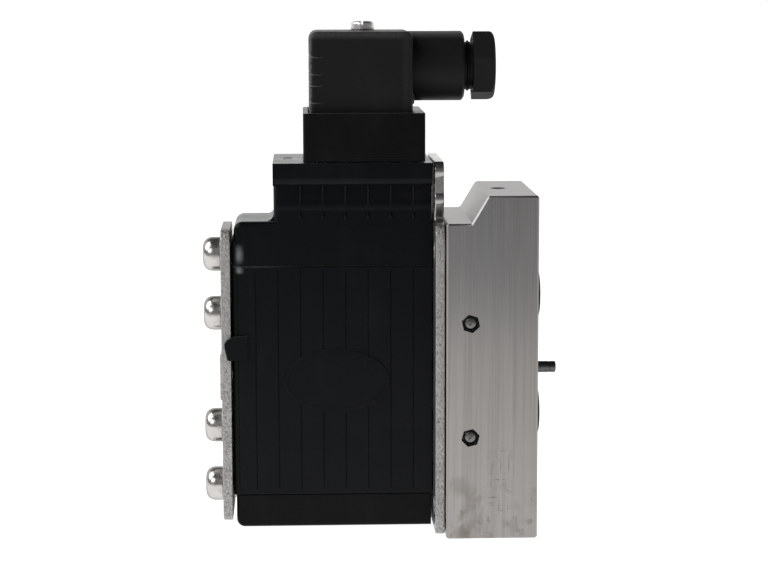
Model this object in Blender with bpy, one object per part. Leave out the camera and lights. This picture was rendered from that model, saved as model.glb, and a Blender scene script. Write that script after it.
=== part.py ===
"""Electrohydraulic pilot module of a solenoid directional valve.

Four small pilot solenoids and a spool position transducer sit side by side between two
steel yoke plates on an aluminium pilot block.  A black plastic housing covers them and
carries a square socket with a right-angle cable plug.

Lengths in this file are millimetres.  X = 0 is the mounting face of the block and +X
leaves it, Y = 0 is the middle of the block's depth, and heights (h) are measured up
from the block's foot.  The origin is at the middle of the mounting face.
"""
import math
import bpy
import bmesh
from mathutils import Vector

MM = 0.001
GAP = 0.3                       # between touching pieces

# ---- pilot block -------------------------------------------------------------
BLOCK_W, BLOCK_D, BLOCK_H = 24.37, 44.0, 92.06
SHELF_H = 84.76                 # lower shelf at the block's housing side
SHELF_X, RIDGE_X = -17.77, -13.38
ORIGIN_H = BLOCK_H / 2

# ---- stacking along X --------------------------------------------------------
INNER_X0, INNER_X1 = -27.27, -24.67      # inner yoke plate
OUTER_X0, OUTER_X1 = -84.10, -81.50      # outer yoke plate
SHELL_X0, SHELL_X1 = -81.20, -27.60      # housing

# ---- solenoids and transducer ------------------------------------------------
SOL_H = (74.6, 58.4, 27.3, 10.9)
SENSOR_H = 42.7
COIL_R, COIL_BORE = 7.6, 4.4
COIL_X0, COIL_X1 = -77.0, -31.8
TUBE_R, TUBE_BORE = 4.0, 3.4
TUBE_X0, TUBE_X1 = -81.2, -14.3
CORE_FACE_X = -52.0
CHAMBER_X = -14.0
SEAT_R = 0.9
ARM_STROKE = 0.8
PIN_R, PIN_END_X, PIN_STROKE = 1.55, 7.15, 6.5

# ---- housing -----------------------------------------------------------------
SHELL_Y = 12.0
SHELL_H0, SHELL_H1 = 10.4, 84.6
WALL = 2.0
NECK_X0, FLANGE_X0, FLANGE_X1 = -69.5, -69.75, -27.8
FLANGE_H0, FLANGE_H1, FLANGE_Y = 94.3, 100.45, 16.7
RIB_PITCH, RIB_X = 6.03, tuple(-62.8 + 6.03 * i for i in range(6))
PAD_H1, PAD_T = 72.7, 0.5
OVAL_X, OVAL_H, OVAL_A, OVAL_B, OVAL_T = -53.2, 41.6, 14.2, 8.6, 0.35
CAP_H0, CAP_H1 = 1.3, 10.1

# ---- plug --------------------------------------------------------------------
SOCKET_X0, SOCKET_X1, SOCKET_Y = -61.85, -29.60, 16.2
SOCKET_H0, SOCKET_FLOOR, SOCKET_H1 = 100.75, 103.0, 113.5
PLUG_X0, PLUG_X1, PLUG_Y = -60.20, -32.75, 13.73
PLUG_H0, PLUG_H1 = 104.0, 134.8
PLUG_C = -45.7                  # contact and screw centre
CABLE_H = 125.3
BARREL_R, BARREL_X1 = 9.33, -18.57
NECK_R, NECK_X1 = 6.8, -13.7
NUT_X0, NUT_X1, NUT_CORNER_R = -16.2, -10.3, 9.6
NUT_PHASE = math.radians(-15.0)
CONTACT_SPACING = 9.0


# ==== modelling helpers =======================================================
def clear():
    for ob in list(bpy.data.objects):
        bpy.data.objects.remove(ob, do_unlink=True)


def material(name, colour, roughness, metallic):
    mat = bpy.data.materials.new(name)
    mat.use_nodes = True
    bsdf = mat.node_tree.nodes["Principled BSDF"]
    bsdf.inputs["Base Color"].default_value = (*colour, 1.0)
    bsdf.inputs["Roughness"].default_value = roughness
    bsdf.inputs["Metallic"].default_value = metallic
    mat.diffuse_color = (*colour, 1.0)
    return mat


def box(x0, x1, y0, y1, z0, z1):
    bm = bmesh.new()
    bmesh.ops.create_cube(bm, size=1.0)
    for v in bm.verts:
        v.co = Vector(((x0 + x1) / 2 + v.co.x * (x1 - x0),
                       (y0 + y1) / 2 + v.co.y * (y1 - y0),
                       (z0 + z1) / 2 + v.co.z * (z1 - z0)))
    return bm


def put(axis, along, u, v):
    """A point at `along` on the axis and (u, v) across it."""
    if axis == "x":
        return Vector((along, u, v))
    if axis == "y":
        return Vector((u, along, v))
    return Vector((u, v, along))


def prism(outline, axis, a0, a1):
    """A closed outline extruded along one axis."""
    bm = bmesh.new()
    low = [bm.verts.new(put(axis, a0, u, v)) for u, v in outline]
    face = bm.faces.new(low)
    grown = bmesh.ops.extrude_face_region(bm, geom=[face])
    shift = put(axis, a1 - a0, 0.0, 0.0)
    bmesh.ops.translate(bm, vec=shift, verts=[g for g in grown["geom"] if isinstance(g, bmesh.types.BMVert)])
    bmesh.ops.recalc_face_normals(bm, faces=bm.faces)
    return bm


def lathe(profile, axis, centre, seg, ring=False, phase=0.0):
    """Turn a profile of (along, radius) points about an axis through centre (u, v)."""
    bm = bmesh.new()
    rings = []
    for a, r in profile:
        if r <= 1e-6:
            rings.append([bm.verts.new(put(axis, a, *centre))])
        else:
            rings.append([bm.verts.new(put(axis, a,
                                           centre[0] + r * math.cos(phase + 2 * math.pi * k / seg),
                                           centre[1] + r * math.sin(phase + 2 * math.pi * k / seg)))
                          for k in range(seg)])
    pairs = list(zip(rings, rings[1:]))
    if ring:
        pairs.append((rings[-1], rings[0]))
    for one, two in pairs:
        for k in range(seg):
            n = (k + 1) % seg
            if len(one) == 1 and len(two) == 1:
                continue
            if len(one) == 1:
                bm.faces.new((one[0], two[k], two[n]))
            elif len(two) == 1:
                bm.faces.new((one[k], one[n], two[0]))
            else:
                bm.faces.new((one[k], one[n], two[n], two[k]))
    bmesh.ops.recalc_face_normals(bm, faces=bm.faces)
    return bm


def rod(axis, a0, a1, centre, r, seg=14, phase=0.0):
    return lathe([(a0, 0), (a0, r), (a1, r), (a1, 0)], axis, centre, seg, phase=phase)


def bevel(bm, test, width, seg=2):
    edges = [e for e in bm.edges if test(e.verts[0].co, e.verts[1].co)]
    bmesh.ops.bevel(bm, geom=edges, offset=width, offset_type="OFFSET", segments=seg,
                    profile=0.5, affect="EDGES", clamp_overlap=True)
    return bm


def along(letter, *conditions):
    """Test for edges parallel to one axis that also meet the conditions (axis, value)."""
    i = "xyz".index(letter)
    others = [k for k in range(3) if k != i]

    def test(p, q):
        if any(abs(p[k] - q[k]) > 1e-4 for k in others) or abs(p[i] - q[i]) < 1e-4:
            return False
        return all(any(abs(p["xyz".index(c)] - w) < 1e-3 for w in ws) for c, ws in conditions)
    return test


def scratch(bm, name):
    me = bpy.data.meshes.new(name)
    bm.to_mesh(me)
    bm.free()
    ob = bpy.data.objects.new(name, me)
    bpy.context.scene.collection.objects.link(ob)
    return ob


def boolean(base, tool, operation):
    a, b = scratch(base, "base"), scratch(tool, "tool")
    mod = a.modifiers.new("cut", "BOOLEAN")
    mod.operation = operation
    mod.solver = "EXACT"
    mod.object = b
    graph = bpy.context.evaluated_depsgraph_get()
    graph.update()
    me = bpy.data.meshes.new_from_object(a.evaluated_get(graph))
    out = bmesh.new()
    out.from_mesh(me)
    for ob in (a, b):
        data = ob.data
        bpy.data.objects.remove(ob, do_unlink=True)
        bpy.data.meshes.remove(data)
    bpy.data.meshes.remove(me)
    return out


def cut(bm, *tools):
    for tool in tools:
        bm = boolean(bm, tool, "DIFFERENCE")
    return bm


def join(bm, *tools):
    for tool in tools:
        bm = boolean(bm, tool, "UNION")
    return bm


def finish(name, bm, mat, origin=(0.0, 0.0, ORIGIN_H), parent=None, smooth=True):
    """Store the shape as one object whose own origin is at `origin`."""
    bmesh.ops.remove_doubles(bm, verts=bm.verts, dist=0.0005)
    bmesh.ops.dissolve_limit(bm, angle_limit=math.radians(0.05), verts=bm.verts, edges=bm.edges)
    bmesh.ops.recalc_face_normals(bm, faces=bm.faces)
    at = Vector(origin)
    for v in bm.verts:
        v.co = (v.co - at) * MM
    me = bpy.data.meshes.new(name)
    bm.to_mesh(me)
    bm.free()
    if smooth:
        me.shade_smooth()
        me.set_sharp_from_angle(angle=math.radians(32))
    ob = bpy.data.objects.new(name, me)
    bpy.context.scene.collection.objects.link(ob)
    ob.data.materials.append(mat)
    ob.location = (at - Vector((0, 0, ORIGIN_H))) * MM
    if parent is not None:
        ob.parent = parent
        ob.location = ob.location - parent.location
    return ob


def pivot(name, at):
    ob = bpy.data.objects.new(name, None)
    ob.empty_display_size = 0.01
    ob.location = (Vector(at) - Vector((0, 0, ORIGIN_H))) * MM
    bpy.context.scene.collection.objects.link(ob)
    return ob


def arc(cx, cy, r, a0, a1, n):
    return [(cx + r * math.cos(math.radians(a0 + (a1 - a0) * k / n)),
             cy + r * math.sin(math.radians(a0 + (a1 - a0) * k / n))) for k in range(n + 1)]


def helix(axis_at, a0, a1, r, wire, turns, steps=10, sides=5):
    """A compression spring along X: one closed tube with flat ends."""
    bm = bmesh.new()
    rings = []
    n = int(turns * steps)
    for k in range(n + 1):
        t = 2 * math.pi * turns * k / n
        x = a0 + wire + (a1 - a0 - 2 * wire) * k / n
        centre = Vector((x, axis_at[0] + r * math.cos(t), axis_at[1] + r * math.sin(t)))
        rise = (a1 - a0 - 2 * wire) / (2 * math.pi * turns)
        tangent = Vector((rise, -r * math.sin(t), r * math.cos(t))).normalized()
        side = Vector((0, math.cos(t), math.sin(t)))
        up = tangent.cross(side).normalized()
        rings.append([bm.verts.new(centre + side * wire * math.cos(2 * math.pi * s / sides)
                                   + up * wire * math.sin(2 * math.pi * s / sides)) for s in range(sides)])
    for one, two in zip(rings, rings[1:]):
        for s in range(sides):
            m = (s + 1) % sides
            bm.faces.new((one[s], one[m], two[m], two[s]))
    bm.faces.new(rings[0])
    bm.faces.new(rings[-1])
    bmesh.ops.recalc_face_normals(bm, faces=bm.faces)
    return bm


# ==== the pieces ==============================================================
def pilot_block(mat):
    outline = [(-BLOCK_W, 0), (0, 0), (0, BLOCK_H), (RIDGE_X, BLOCK_H), (SHELF_X, SHELF_H), (-BLOCK_W, SHELF_H)]
    bm = prism(outline, "y", -BLOCK_D / 2, BLOCK_D / 2)
    tools = []
    for h in SOL_H:
        tools.append(lathe([(-BLOCK_W - 1, 0), (-BLOCK_W - 1, 4.35), (CHAMBER_X, 4.35), (CHAMBER_X + 1.2, SEAT_R),
                            (-8.2, SEAT_R), (-8.2, 0)], "x", (0, h), 12))
    tools.append(lathe([(-BLOCK_W - 1, 0), (-BLOCK_W - 1, 4.85), (CHAMBER_X, 4.85), (CHAMBER_X, 1.9), (-7.2, 1.9),
                        (-7.2, 3.1), (-5.2, 3.1), (-5.2, 1.9), (-0.35, 1.9), (0.5, 2.75), (0.5, 0)],
                       "x", (0, SENSOR_H), 12))
    for h in (63.3, 30.8):                       # port with its seal seat
        tools.append(lathe([(-8.9, 0), (-8.9, 1.9), (-1.5, 1.9), (-1.5, 7.5), (1, 7.5), (1, 0)], "x", (0, h), 24))
    for h in (58.22, 27.53):                     # cross drillings closed by expander plugs
        tools.append(lathe([(-BLOCK_D / 2 - 1, 0), (-BLOCK_D / 2 - 1, 2.35), (-17.9, 2.35), (-17.2, 1.4), (-4.0, 1.4), (-4.0, 0)],
                           "y", (-17.93, h), 14))
    tools.append(lathe([(BLOCK_H + 1, 0), (BLOCK_H + 1, 1.6), (57.0, 1.6), (57.0, 0)], "z", (-8.94, 0), 12))
    for y in (-17.0, 17.0):                      # screws that hold the module on its valve
        for h in (8.0, 77.0):
            tools.append(rod("x", -BLOCK_W - 1, 1, (y, h), 2.75, 16))
    bm = cut(bm, *tools)
    bm = bevel(bm, lambda p, q: (abs(p.x - q.x) + abs(p.z - q.z) > 8 and abs(p.y - q.y) < 1e-4
                                 and abs(abs(p.y) - 22) < 1e-3), 0.25, 1)
    return finish("pilot_block", bm, mat)


def inner_yoke_plate(mat):
    """Plate on the block with a shaped tab that stands up behind the housing's neck."""
    y, z0, z1 = 20.9, 1.0, 84.6
    half = []                                    # from the foot's middle round to the tab's middle, +Y side
    half += arc(y - 1.2, z0 + 1.2, 1.2, -90, 0, 3)
    half += arc(y - 4.0, z1 - 4.0, 4.0, 0, 90, 5)
    half += arc(15.6, z1 + 1.2, 1.2, 270, 180, 3)
    half += arc(14.0, 90.3, 2.6, -38, 38, 4)
    half += arc(14.0, 97.3, 2.6, -38, 90, 6)
    outline = half + [(-u, v) for u, v in reversed(half)]
    bm = prism(outline, "x", INNER_X0, INNER_X1)
    for h in SOL_H:
        bm = cut(bm, rod("x", INNER_X0 - 1, INNER_X1 + 1, (0, h), 4.45, 12))
    bm = cut(bm, rod("x", INNER_X0 - 1, INNER_X1 + 1, (0, SENSOR_H), 5.0, 12))
    for y in (-17.0, 17.0):
        for h in (8.0, 77.0):
            bm = cut(bm, rod("x", INNER_X0 - 1, INNER_X1 + 1, (y, h), 2.9, 16))
    return finish("inner_yoke_plate", bm, mat)


def outer_yoke_plate(mat):
    y, z0, z1, r = 13.0, 3.4, 82.4, 3.6
    outline = (arc(y - 1.5, z0 + 1.5, 1.5, -90, 0, 3) + arc(y - r, z1 - r, r, 0, 90, 5)
               + arc(-y + r, z1 - r, r, 90, 180, 5) + arc(-y + 1.5, z0 + 1.5, 1.5, 180, 270, 3))
    bm = prism(outline, "x", OUTER_X0, OUTER_X1)
    pad = box(OUTER_X0 - 0.45, OUTER_X0 + 0.8, -y + 0.001, y - 0.001, 36.6, 48.8)
    bevel(pad, along("y", ("x", (OUTER_X0 - 0.45,))), 0.3, 1)
    bm = join(bm, pad)
    for h in SOL_H:
        bm = cut(bm, rod("x", OUTER_X0 - 1, OUTER_X1 + 1, (0, h), 2.3, 12))
    bm = cut(bm, rod("x", OUTER_X0 - 2, OUTER_X1 + 1, (0, SENSOR_H), 4.95, 20))
    return finish("outer_yoke_plate", bm, mat)


def star(axis, a0, a1, centre, r_out, r_in, lobes=6, seg=24):
    pts = []
    for k in range(seg):
        t = 2 * math.pi * k / seg
        r = (r_out + r_in) / 2 + (r_out - r_in) / 2 * math.cos(lobes * t)
        pts.append((centre[0] + r * math.cos(t), centre[1] + r * math.sin(t)))
    return prism(pts, axis, a0, a1)


def yoke_screw(name, h, mat):
    top, under, r = -89.4, -84.42, 4.7
    prof = [(top, 0), (top, 2.9), (top + 0.4, 3.95), (top + 1.5, r), (under, r), (under, 1.9), (-76.9, 1.9), (-76.9, 0)]
    bm = lathe(prof, "x", (0, h), 16)
    bm = cut(bm, star("x", top - 1, top + 2.2, (0, h), 2.25, 1.6, seg=12))
    return finish(name, bm, mat, origin=(top, 0, h))


def coil(name, h, mat, r=COIL_R, bore=COIL_BORE):
    x0, x1 = COIL_X0, COIL_X1
    prof = [(x0, bore), (x0, r), (x0 + 1.4, r), (x0 + 1.4, r - 0.7), (x1 - 1.4, r - 0.7), (x1 - 1.4, r), (x1, r), (x1, bore)]
    bm = lathe(prof, "x", (0, h), 16, ring=True)
    return finish(name, bm, mat, origin=((x0 + x1) / 2, 0, h))


def core_tube(name, h, mat):
    prof = [(TUBE_X0, 2.3), (TUBE_X0, TUBE_R), (TUBE_X1, TUBE_R), (TUBE_X1, TUBE_BORE), (CORE_FACE_X, TUBE_BORE),
            (CORE_FACE_X, 0)]
    prof = [(-76.0, 0), (-76.0, 2.3)] + prof
    return finish(name, lathe(prof, "x", (0, h), 12), mat, origin=(TUBE_X0, 0, h))


def armature(name, h, mat):
    prof = [(-42.8, 0), (-42.8, 2.0), (-50.8, 2.0), (-50.8, 3.05), (-20.0, 3.05), (-19.0, 1.2), (-16.4, 1.2), (-14.45, 0)]
    at = pivot(name + "_axis", (-50.8, 0, h))
    return finish(name, lathe(prof, "x", (0, h), 12), mat, origin=(-50.8, 0, h), parent=at)


def transducer(mats):
    finish("transducer_coil", lathe([(COIL_X0, 4.9), (COIL_X0, 6.4), (COIL_X1, 6.4), (COIL_X1, 4.9)],
                                    "x", (0, SENSOR_H), 16, ring=True), mats["winding"], origin=(COIL_X0, 0, SENSOR_H))
    prof = [(-84.3, 0), (-84.3, 3.9), (-83.9, 4.5), (-14.3, 4.5), (-14.3, 2.6), (-70.0, 2.6), (-70.0, 0)]
    finish("transducer_tube", lathe(prof, "x", (0, SENSOR_H), 16), mats["steel"], origin=(-84.3, 0, SENSOR_H))
    at = pivot("transducer_pin_axis", (0, 0, SENSOR_H))
    g = 0.14
    prof = [(-50.0, 0), (-50.0, 2.2), (-31.0, 2.2), (-30.4, PIN_R), (5.35, PIN_R), (5.45, PIN_R - g), (5.6, PIN_R),
            (6.85, PIN_R), (7.15, PIN_R - 0.3), (7.15, 0)]
    finish("transducer_pin", lathe(prof, "x", (0, SENSOR_H), 14), mats["steel"], origin=(0, 0, SENSOR_H), parent=at)
    finish("transducer_spring", helix((0, SENSOR_H), -69.7, -50.3, 1.75, 0.3, 6, steps=9, sides=4), mats["spring"],
           origin=(-69.7, 0, SENSOR_H))
    finish("transducer_seal", lathe([(-6.9, 1.86), (-6.9, 2.8), (-5.5, 2.8), (-5.5, 1.86)], "x", (0, SENSOR_H), 12, ring=True),
           mats["rubber"], origin=(-6.9, 0, SENSOR_H))


def housing_shell(mat):
    """Black moulded housing: body, neck, flange with ribs under it, open below."""
    bm = box(SHELL_X0, SHELL_X1, -SHELL_Y, SHELL_Y, SHELL_H0, SHELL_H1)
    bevel(bm, along("y", ("x", (SHELL_X0,)), ("z", (SHELL_H1,))), 2.6, 3)
    bevel(bm, lambda p, q: abs(abs(p.y) - SHELL_Y) < 1e-3 and abs(abs(q.y) - SHELL_Y) < 1e-3 and p.y * q.y > 0
          and (min(p.x, q.x) < SHELL_X0 + 2.7 or min(p.z, q.z) > SHELL_H1 - 0.01)
          and not (abs(p.z - SHELL_H0) < 1e-3 and abs(q.z - SHELL_H0) < 1e-3), 2.2, 2)
    pad = box(SHELL_X0 + 1.6, SHELL_X1, -SHELL_Y - PAD_T, SHELL_Y + PAD_T, SHELL_H0 + 0.01, PAD_H1)
    bevel(pad, along("y", ("x", (SHELL_X0 + 1.6,)), ("z", (SHELL_H0 + 0.01,))), 2.2, 2)
    bevel(pad, lambda p, q: p.y * q.y > 0 and min(p.x, q.x) < SHELL_X0 + 4, 0.45, 1)
    neck = box(NECK_X0, FLANGE_X1, -SHELL_Y + 0.02, SHELL_Y - 0.02, SHELL_H1 - 4, FLANGE_H0 + 2)
    bevel(neck, along("z", ("x", (NECK_X0,))), 1.5, 2)
    flange = box(FLANGE_X0, FLANGE_X1 + 0.02, -FLANGE_Y, FLANGE_Y, FLANGE_H0, FLANGE_H1)
    bevel(flange, along("x", ("z", (FLANGE_H0,))), 2.2, 2)
    bevel(flange, along("z"), 1.2, 2)
    lug = box(-83.3, -77.0, -14.4, -13.35, 47.3, 52.2)
    hook = prism([(-80.9, 47.3), (-77.0, 47.3), (-77.0, 54.6), (-79.2, 54.6), (-80.9, 52.2)], "y", -13.6, -11.0)
    lug2 = box(-83.3, -77.0, 13.35, 14.4, 47.3, 52.2)
    hook2 = prism([(-80.9, 47.3), (-77.0, 47.3), (-77.0, 54.6), (-79.2, 54.6), (-80.9, 52.2)], "y", 11.0, 13.6)
    bm = join(bm, pad, neck, flange, hook, lug, hook2, lug2)
    for side in (-1, 1):
        for x in RIB_X:
            rib = prism([(side * 11.0, 84.9), (side * 12.6, 86.4), (side * 15.6, FLANGE_H0 + 0.8), (side * 11.0, FLANGE_H0 + 0.8)],
                        "x", x - 0.45, x + 0.45)
            bm = join(bm, rib)
    oval = [(OVAL_X + OVAL_A * math.cos(2 * math.pi * k / 24), OVAL_H + OVAL_B * math.sin(2 * math.pi * k / 24))
            for k in range(24)]
    bm = join(bm, prism(oval, "y", -SHELL_Y - PAD_T - OVAL_T, -SHELL_Y))
    bm = cut(bm, box(SHELL_X0 + WALL, SHELL_X1 - WALL, -SHELL_Y + WALL, SHELL_Y - WALL, SHELL_H0 - 1, SHELL_H1 - WALL),
             box(-57.0, -34.5, -10.6, 10.6, SHELL_H1 - WALL - 1, FLANGE_H1 + 1))
    for h in SOL_H:
        bm = cut(bm, rod("x", SHELL_X0 - 1, SHELL_X0 + WALL + 1, (0, h), 4.45, 12),
                 rod("x", SHELL_X1 - WALL - 1, SHELL_X1 + 1, (0, h), 4.45, 12))
    bm = cut(bm, rod("x", SHELL_X0 - 1, SHELL_X0 + WALL + 1, (0, SENSOR_H), 5.0, 14, 0.1),
             rod("x", SHELL_X1 - WALL - 1, SHELL_X1 + 1, (0, SENSOR_H), 5.0, 14, 0.1))
    return finish("housing_shell", bm, mat)


def bottom_cap(mat):
    x0, x1, y = -80.5, -27.8, 11.7
    bm = box(x0, x1, -y, y, CAP_H0, CAP_H1)
    bevel(bm, along("y", ("x", (x0,)), ("z", (CAP_H0,))), 2.2, 3)
    bevel(bm, lambda p, q: p.y * q.y > 0 and min(p.x, q.x) < x0 + 2.3 and not (abs(p.z - CAP_H1) < 1e-3 and abs(q.z - CAP_H1) < 1e-3),
          1.2, 2)
    bm = join(bm, box(-78.9, -29.9, -9.7, 9.7, CAP_H1 - 1, 13.0))
    bm = cut(bm, box(-77.9, -30.9, -8.2, 8.2, 2.9, 14.0))
    bm = cut(bm, rod("x", x0 - 1, x1 + 1, (0, SOL_H[3]), 4.45, 12))
    return finish("bottom_cap", bm, mat)


def circuit_board(mat):
    bm = box(-76.0, -31.0, -9.6, -8.1, 14.0, 81.0)
    for x, h, w, d in ((-68.0, 66.5, 7.0, 4.4), (-53.0, 66.5, 10.0, 4.4), (-39.0, 66.5, 5.0, 3.0),
                       (-66.0, 19.1, 9.0, 3.6), (-46.0, 19.1, 6.0, 3.0)):
        bm = join(bm, box(x - w / 2, x + w / 2, -8.4, -7.0, h - d / 2, h + d / 2))
    return finish("circuit_board", bm, mat)


def socket_collar(mat):
    bm = box(SOCKET_X0, SOCKET_X1, -SOCKET_Y, SOCKET_Y, SOCKET_H0, SOCKET_H1)
    bevel(bm, along("z"), 0.9, 2)
    bm = cut(bm, box(PLUG_X0 - 0.35, PLUG_X1 + 0.35, -PLUG_Y - 0.32, PLUG_Y + 0.32, SOCKET_FLOOR, SOCKET_H1 + 1))
    bm = join(bm, rod("z", SOCKET_FLOOR - 0.5, 107.5, (PLUG_C, 0), 3.4, 14))
    bm = cut(bm, rod("z", SOCKET_H0 - 1, 108.0, (PLUG_C, 0), 1.85, 10))
    for dx, dy, wx, wy in blades():
        bm = cut(bm, box(PLUG_C + dx - wx / 2 - 0.3, PLUG_C + dx + wx / 2 + 0.3, dy - wy / 2 - 0.3, dy + wy / 2 + 0.3,
                         SOCKET_H0 - 1, SOCKET_FLOOR + 1))
    return finish("socket_collar", bm, mat)


def blades():
    s = CONTACT_SPACING
    return ((-s, 0.0, 1.0, 6.0), (s, 0.0, 1.0, 6.0), (0.0, -s, 6.0, 1.0), (0.0, s, 6.0, 1.0))


def contacts(blade_mat, terminal_mat, names, hood):
    for (dx, dy, wx, wy), (blade_name, terminal_name) in zip(blades(), names):
        x, y = PLUG_C + dx, dy
        bm = box(x - wx / 2, x + wx / 2, y - wy / 2, y + wy / 2, 97.0, 110.5)
        bevel(bm, lambda p, q: abs(p.z - 110.5) < 1e-3 and abs(q.z - 110.5) < 1e-3 and (p - q).length > 3, 0.3, 1)
        finish(blade_name, bm, blade_mat, origin=(x, y, 97.0))
        ox, oy = (wx + 2.2) / 2, (wy + 2.2) / 2
        bm = box(x - ox, x + ox, y - oy, y + oy, 105.0, 115.5)
        bm = cut(bm, box(x - wx / 2 - 0.3, x + wx / 2 + 0.3, y - wy / 2 - 0.3, y + wy / 2 + 0.3, 104.0, 112.5))
        finish(terminal_name, bm, terminal_mat, origin=(x, y, 105.0), parent=hood)


def plug_hood(mat, at):
    x0, x1, y = PLUG_X0, PLUG_X1, PLUG_Y
    bm = box(x0, x1, -y, y, PLUG_H0, PLUG_H1)
    bevel(bm, along("z"), 2.0, 3)
    bevel(bm, lambda p, q: abs(p.z - PLUG_H1) < 1e-3 and abs(q.z - PLUG_H1) < 1e-3, 1.6, 3)
    barrel = lathe([(x1 - 3, 0), (x1 - 3, BARREL_R), (BARREL_X1 - 0.8, BARREL_R), (BARREL_X1, BARREL_R - 0.8),
                    (BARREL_X1, NECK_R), (NECK_X1 - 0.4, NECK_R), (NECK_X1, NECK_R - 0.4), (NECK_X1, 0)],
                   "x", (0, CABLE_H), 24)
    bm = join(bm, barrel)
    for h in (130.8, 126.2, 121.7, 117.2):        # grip notches in the end opposite the cable
        bm = cut(bm, prism([(x0 - 1, h - 0.75), (x0 + 1.5, h - 0.2), (x0 + 1.5, h + 0.2), (x0 - 1, h + 0.75)],
                           "y", -y - 1, y + 1))
    bm = cut(bm, box(x0 + 1.35, x1 - 1.35, -y + 1.35, y - 1.35, PLUG_H0 - 1, 131.5))
    bm = join(bm, rod("z", 118.6, 132.0, (PLUG_C, 0), 3.2, 12))
    bm = cut(bm, rod("z", 117.0, PLUG_H1 + 1, (PLUG_C, 0), 1.85, 10),
             rod("z", 133.8, PLUG_H1 + 1, (PLUG_C, 0), 3.5, 16),
             lathe([(x1 - 3, 0), (x1 - 3, 4.2), (-24.3, 4.2), (-24.3, 5.2), (NECK_X1 + 1, 5.2), (NECK_X1 + 1, 0)],
                   "x", (0, CABLE_H), 16))
    return finish("plug_hood", bm, mat, origin=(PLUG_C, 0, PLUG_H0), parent=at)


def plug_insert(mat, at):
    bm = box(PLUG_X0 + 1.65, PLUG_X1 - 1.65, -PLUG_Y + 1.65, PLUG_Y - 1.65, 104.6, 118.0)
    bm = cut(bm, lathe([(104.0, 0), (104.0, 3.8), (108.1, 3.8), (108.1, 1.9), (119.0, 1.9), (119.0, 0)], "z", (PLUG_C, 0), 12))
    for dx, dy, wx, wy in blades():
        ox, oy = (wx + 2.8) / 2, (wy + 2.8) / 2
        bm = cut(bm, box(PLUG_C + dx - ox, PLUG_C + dx + ox, dy - oy, dy + oy, 104.0, 116.2))
    return finish("terminal_insert", bm, mat, origin=(PLUG_C, 0, 104.6), parent=at)


def gland(mats, at):
    c = (0, CABLE_H)
    washer_at = pivot("gland_washer_axis", (NUT_X0, 0, CABLE_H))
    washer_at.parent = at
    washer_at.location = washer_at.location - at.location
    finish("cable_grommet", lathe([(-24.0, 3.35), (-24.0, 4.9), (-16.1, 4.9), (-16.1, 3.35)], "x", c, 16, ring=True),
           mats["rubber"], origin=(-24.0, 0, CABLE_H), parent=at)
    ob = finish("gland_washer", lathe([(-13.6, 3.9), (-13.6, 4.9), (-11.7, 4.9), (-11.7, 3.9)], "x", c, 16, ring=True),
                mats["light_plastic"], origin=(NUT_X0, 0, CABLE_H))
    ob.parent = washer_at
    ob.location = (0, 0, 0)
    ap = NUT_CORNER_R
    hexagon = [(ap * math.sin(NUT_PHASE + math.radians(60 * k)), CABLE_H + ap * math.cos(NUT_PHASE + math.radians(60 * k)))
               for k in range(6)]
    bm = prism(hexagon, "x", NUT_X0, NUT_X1)
    dome = lathe([(NUT_X0 - 1, 0), (NUT_X0 - 1, 9.75), (NUT_X1 - 1.5, 9.75), (NUT_X1 - 0.5, 8.9), (NUT_X1, 7.9),
                  (NUT_X1 + 0.001, 0)], "x", c, 24)
    bm = boolean(bm, dome, "INTERSECT")
    bm = cut(bm, lathe([(NUT_X0 - 1, 0), (NUT_X0 - 1, 7.15), (-11.4, 7.15), (-11.4, 4.6), (NUT_X1 - 0.4, 4.6), (NUT_X1 + 0.5, 5.5),
                        (NUT_X1 + 0.5, 0)], "x", c, 16))
    ob = finish("gland_nut", bm, mats["plastic"], origin=(NUT_X0, 0, CABLE_H))
    ob.parent = washer_at
    ob.location = (0, 0, 0)


def centre_screw(mats, at):
    axis = pivot("centre_screw_axis", (PLUG_C, 0, 134.0))
    axis.parent = at
    axis.location = axis.location - at.location
    ob = finish("screw_washer", lathe([(134.1, 1.85), (134.1, 3.1), (134.7, 3.1), (134.7, 1.85)], "z", (PLUG_C, 0), 12, ring=True),
                mats["rubber"], origin=(PLUG_C, 0, 134.0))
    ob.parent = axis
    ob.location = (0, 0, 0)
    bm = lathe([(106.0, 0), (106.0, 1.5), (135.0, 1.5), (135.0, 3.15), (136.7, 3.15), (137.4, 2.2),
                (137.4, 0)], "z", (PLUG_C, 0), 16)
    bm = cut(bm, box(PLUG_C - 2.3, PLUG_C + 2.3, -0.4, 0.4, 136.1, 138.0), box(PLUG_C - 0.4, PLUG_C + 0.4, -2.3, 2.3, 136.1, 138.0))
    ob = finish("centre_screw", bm, mats["steel"], origin=(PLUG_C, 0, 134.0))
    ob.parent = axis
    ob.location = (0, 0, 0)


def expander(name, h, mats):
    prof = [(-18.3, 0), (-18.3, 2.05), (-21.85, 2.05), (-21.85, 1.5), (-19.3, 1.5), (-19.3, 0)]
    finish("expander_sleeve_" + name, lathe(prof, "y", (-17.93, h), 14), mats["steel"], origin=(-17.93, -21.85, h))
    n = 5
    ball = [(-20.80 + 1.12 * math.sin(math.radians(-90 + 180 * k / n)), 1.12 * math.cos(math.radians(-90 + 180 * k / n)))
            for k in range(n + 1)]
    ball[0], ball[-1] = (ball[0][0], 0), (ball[-1][0], 0)
    finish("expander_ball_" + name, lathe(ball, "y", (-17.93, h), 10), mats["bright"], origin=(-17.93, -20.80, h))


def port_seal(name, h, mat):
    prof = [(-1.2, 4.6), (-1.2, 7.15), (1.3, 7.15), (2.1, 6.6), (2.25, 5.8), (1.4, 4.6)]
    finish("port_seal_" + name, lathe(prof, "x", (0, h), 24, ring=True), mat, origin=(0, 0, h))


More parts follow.
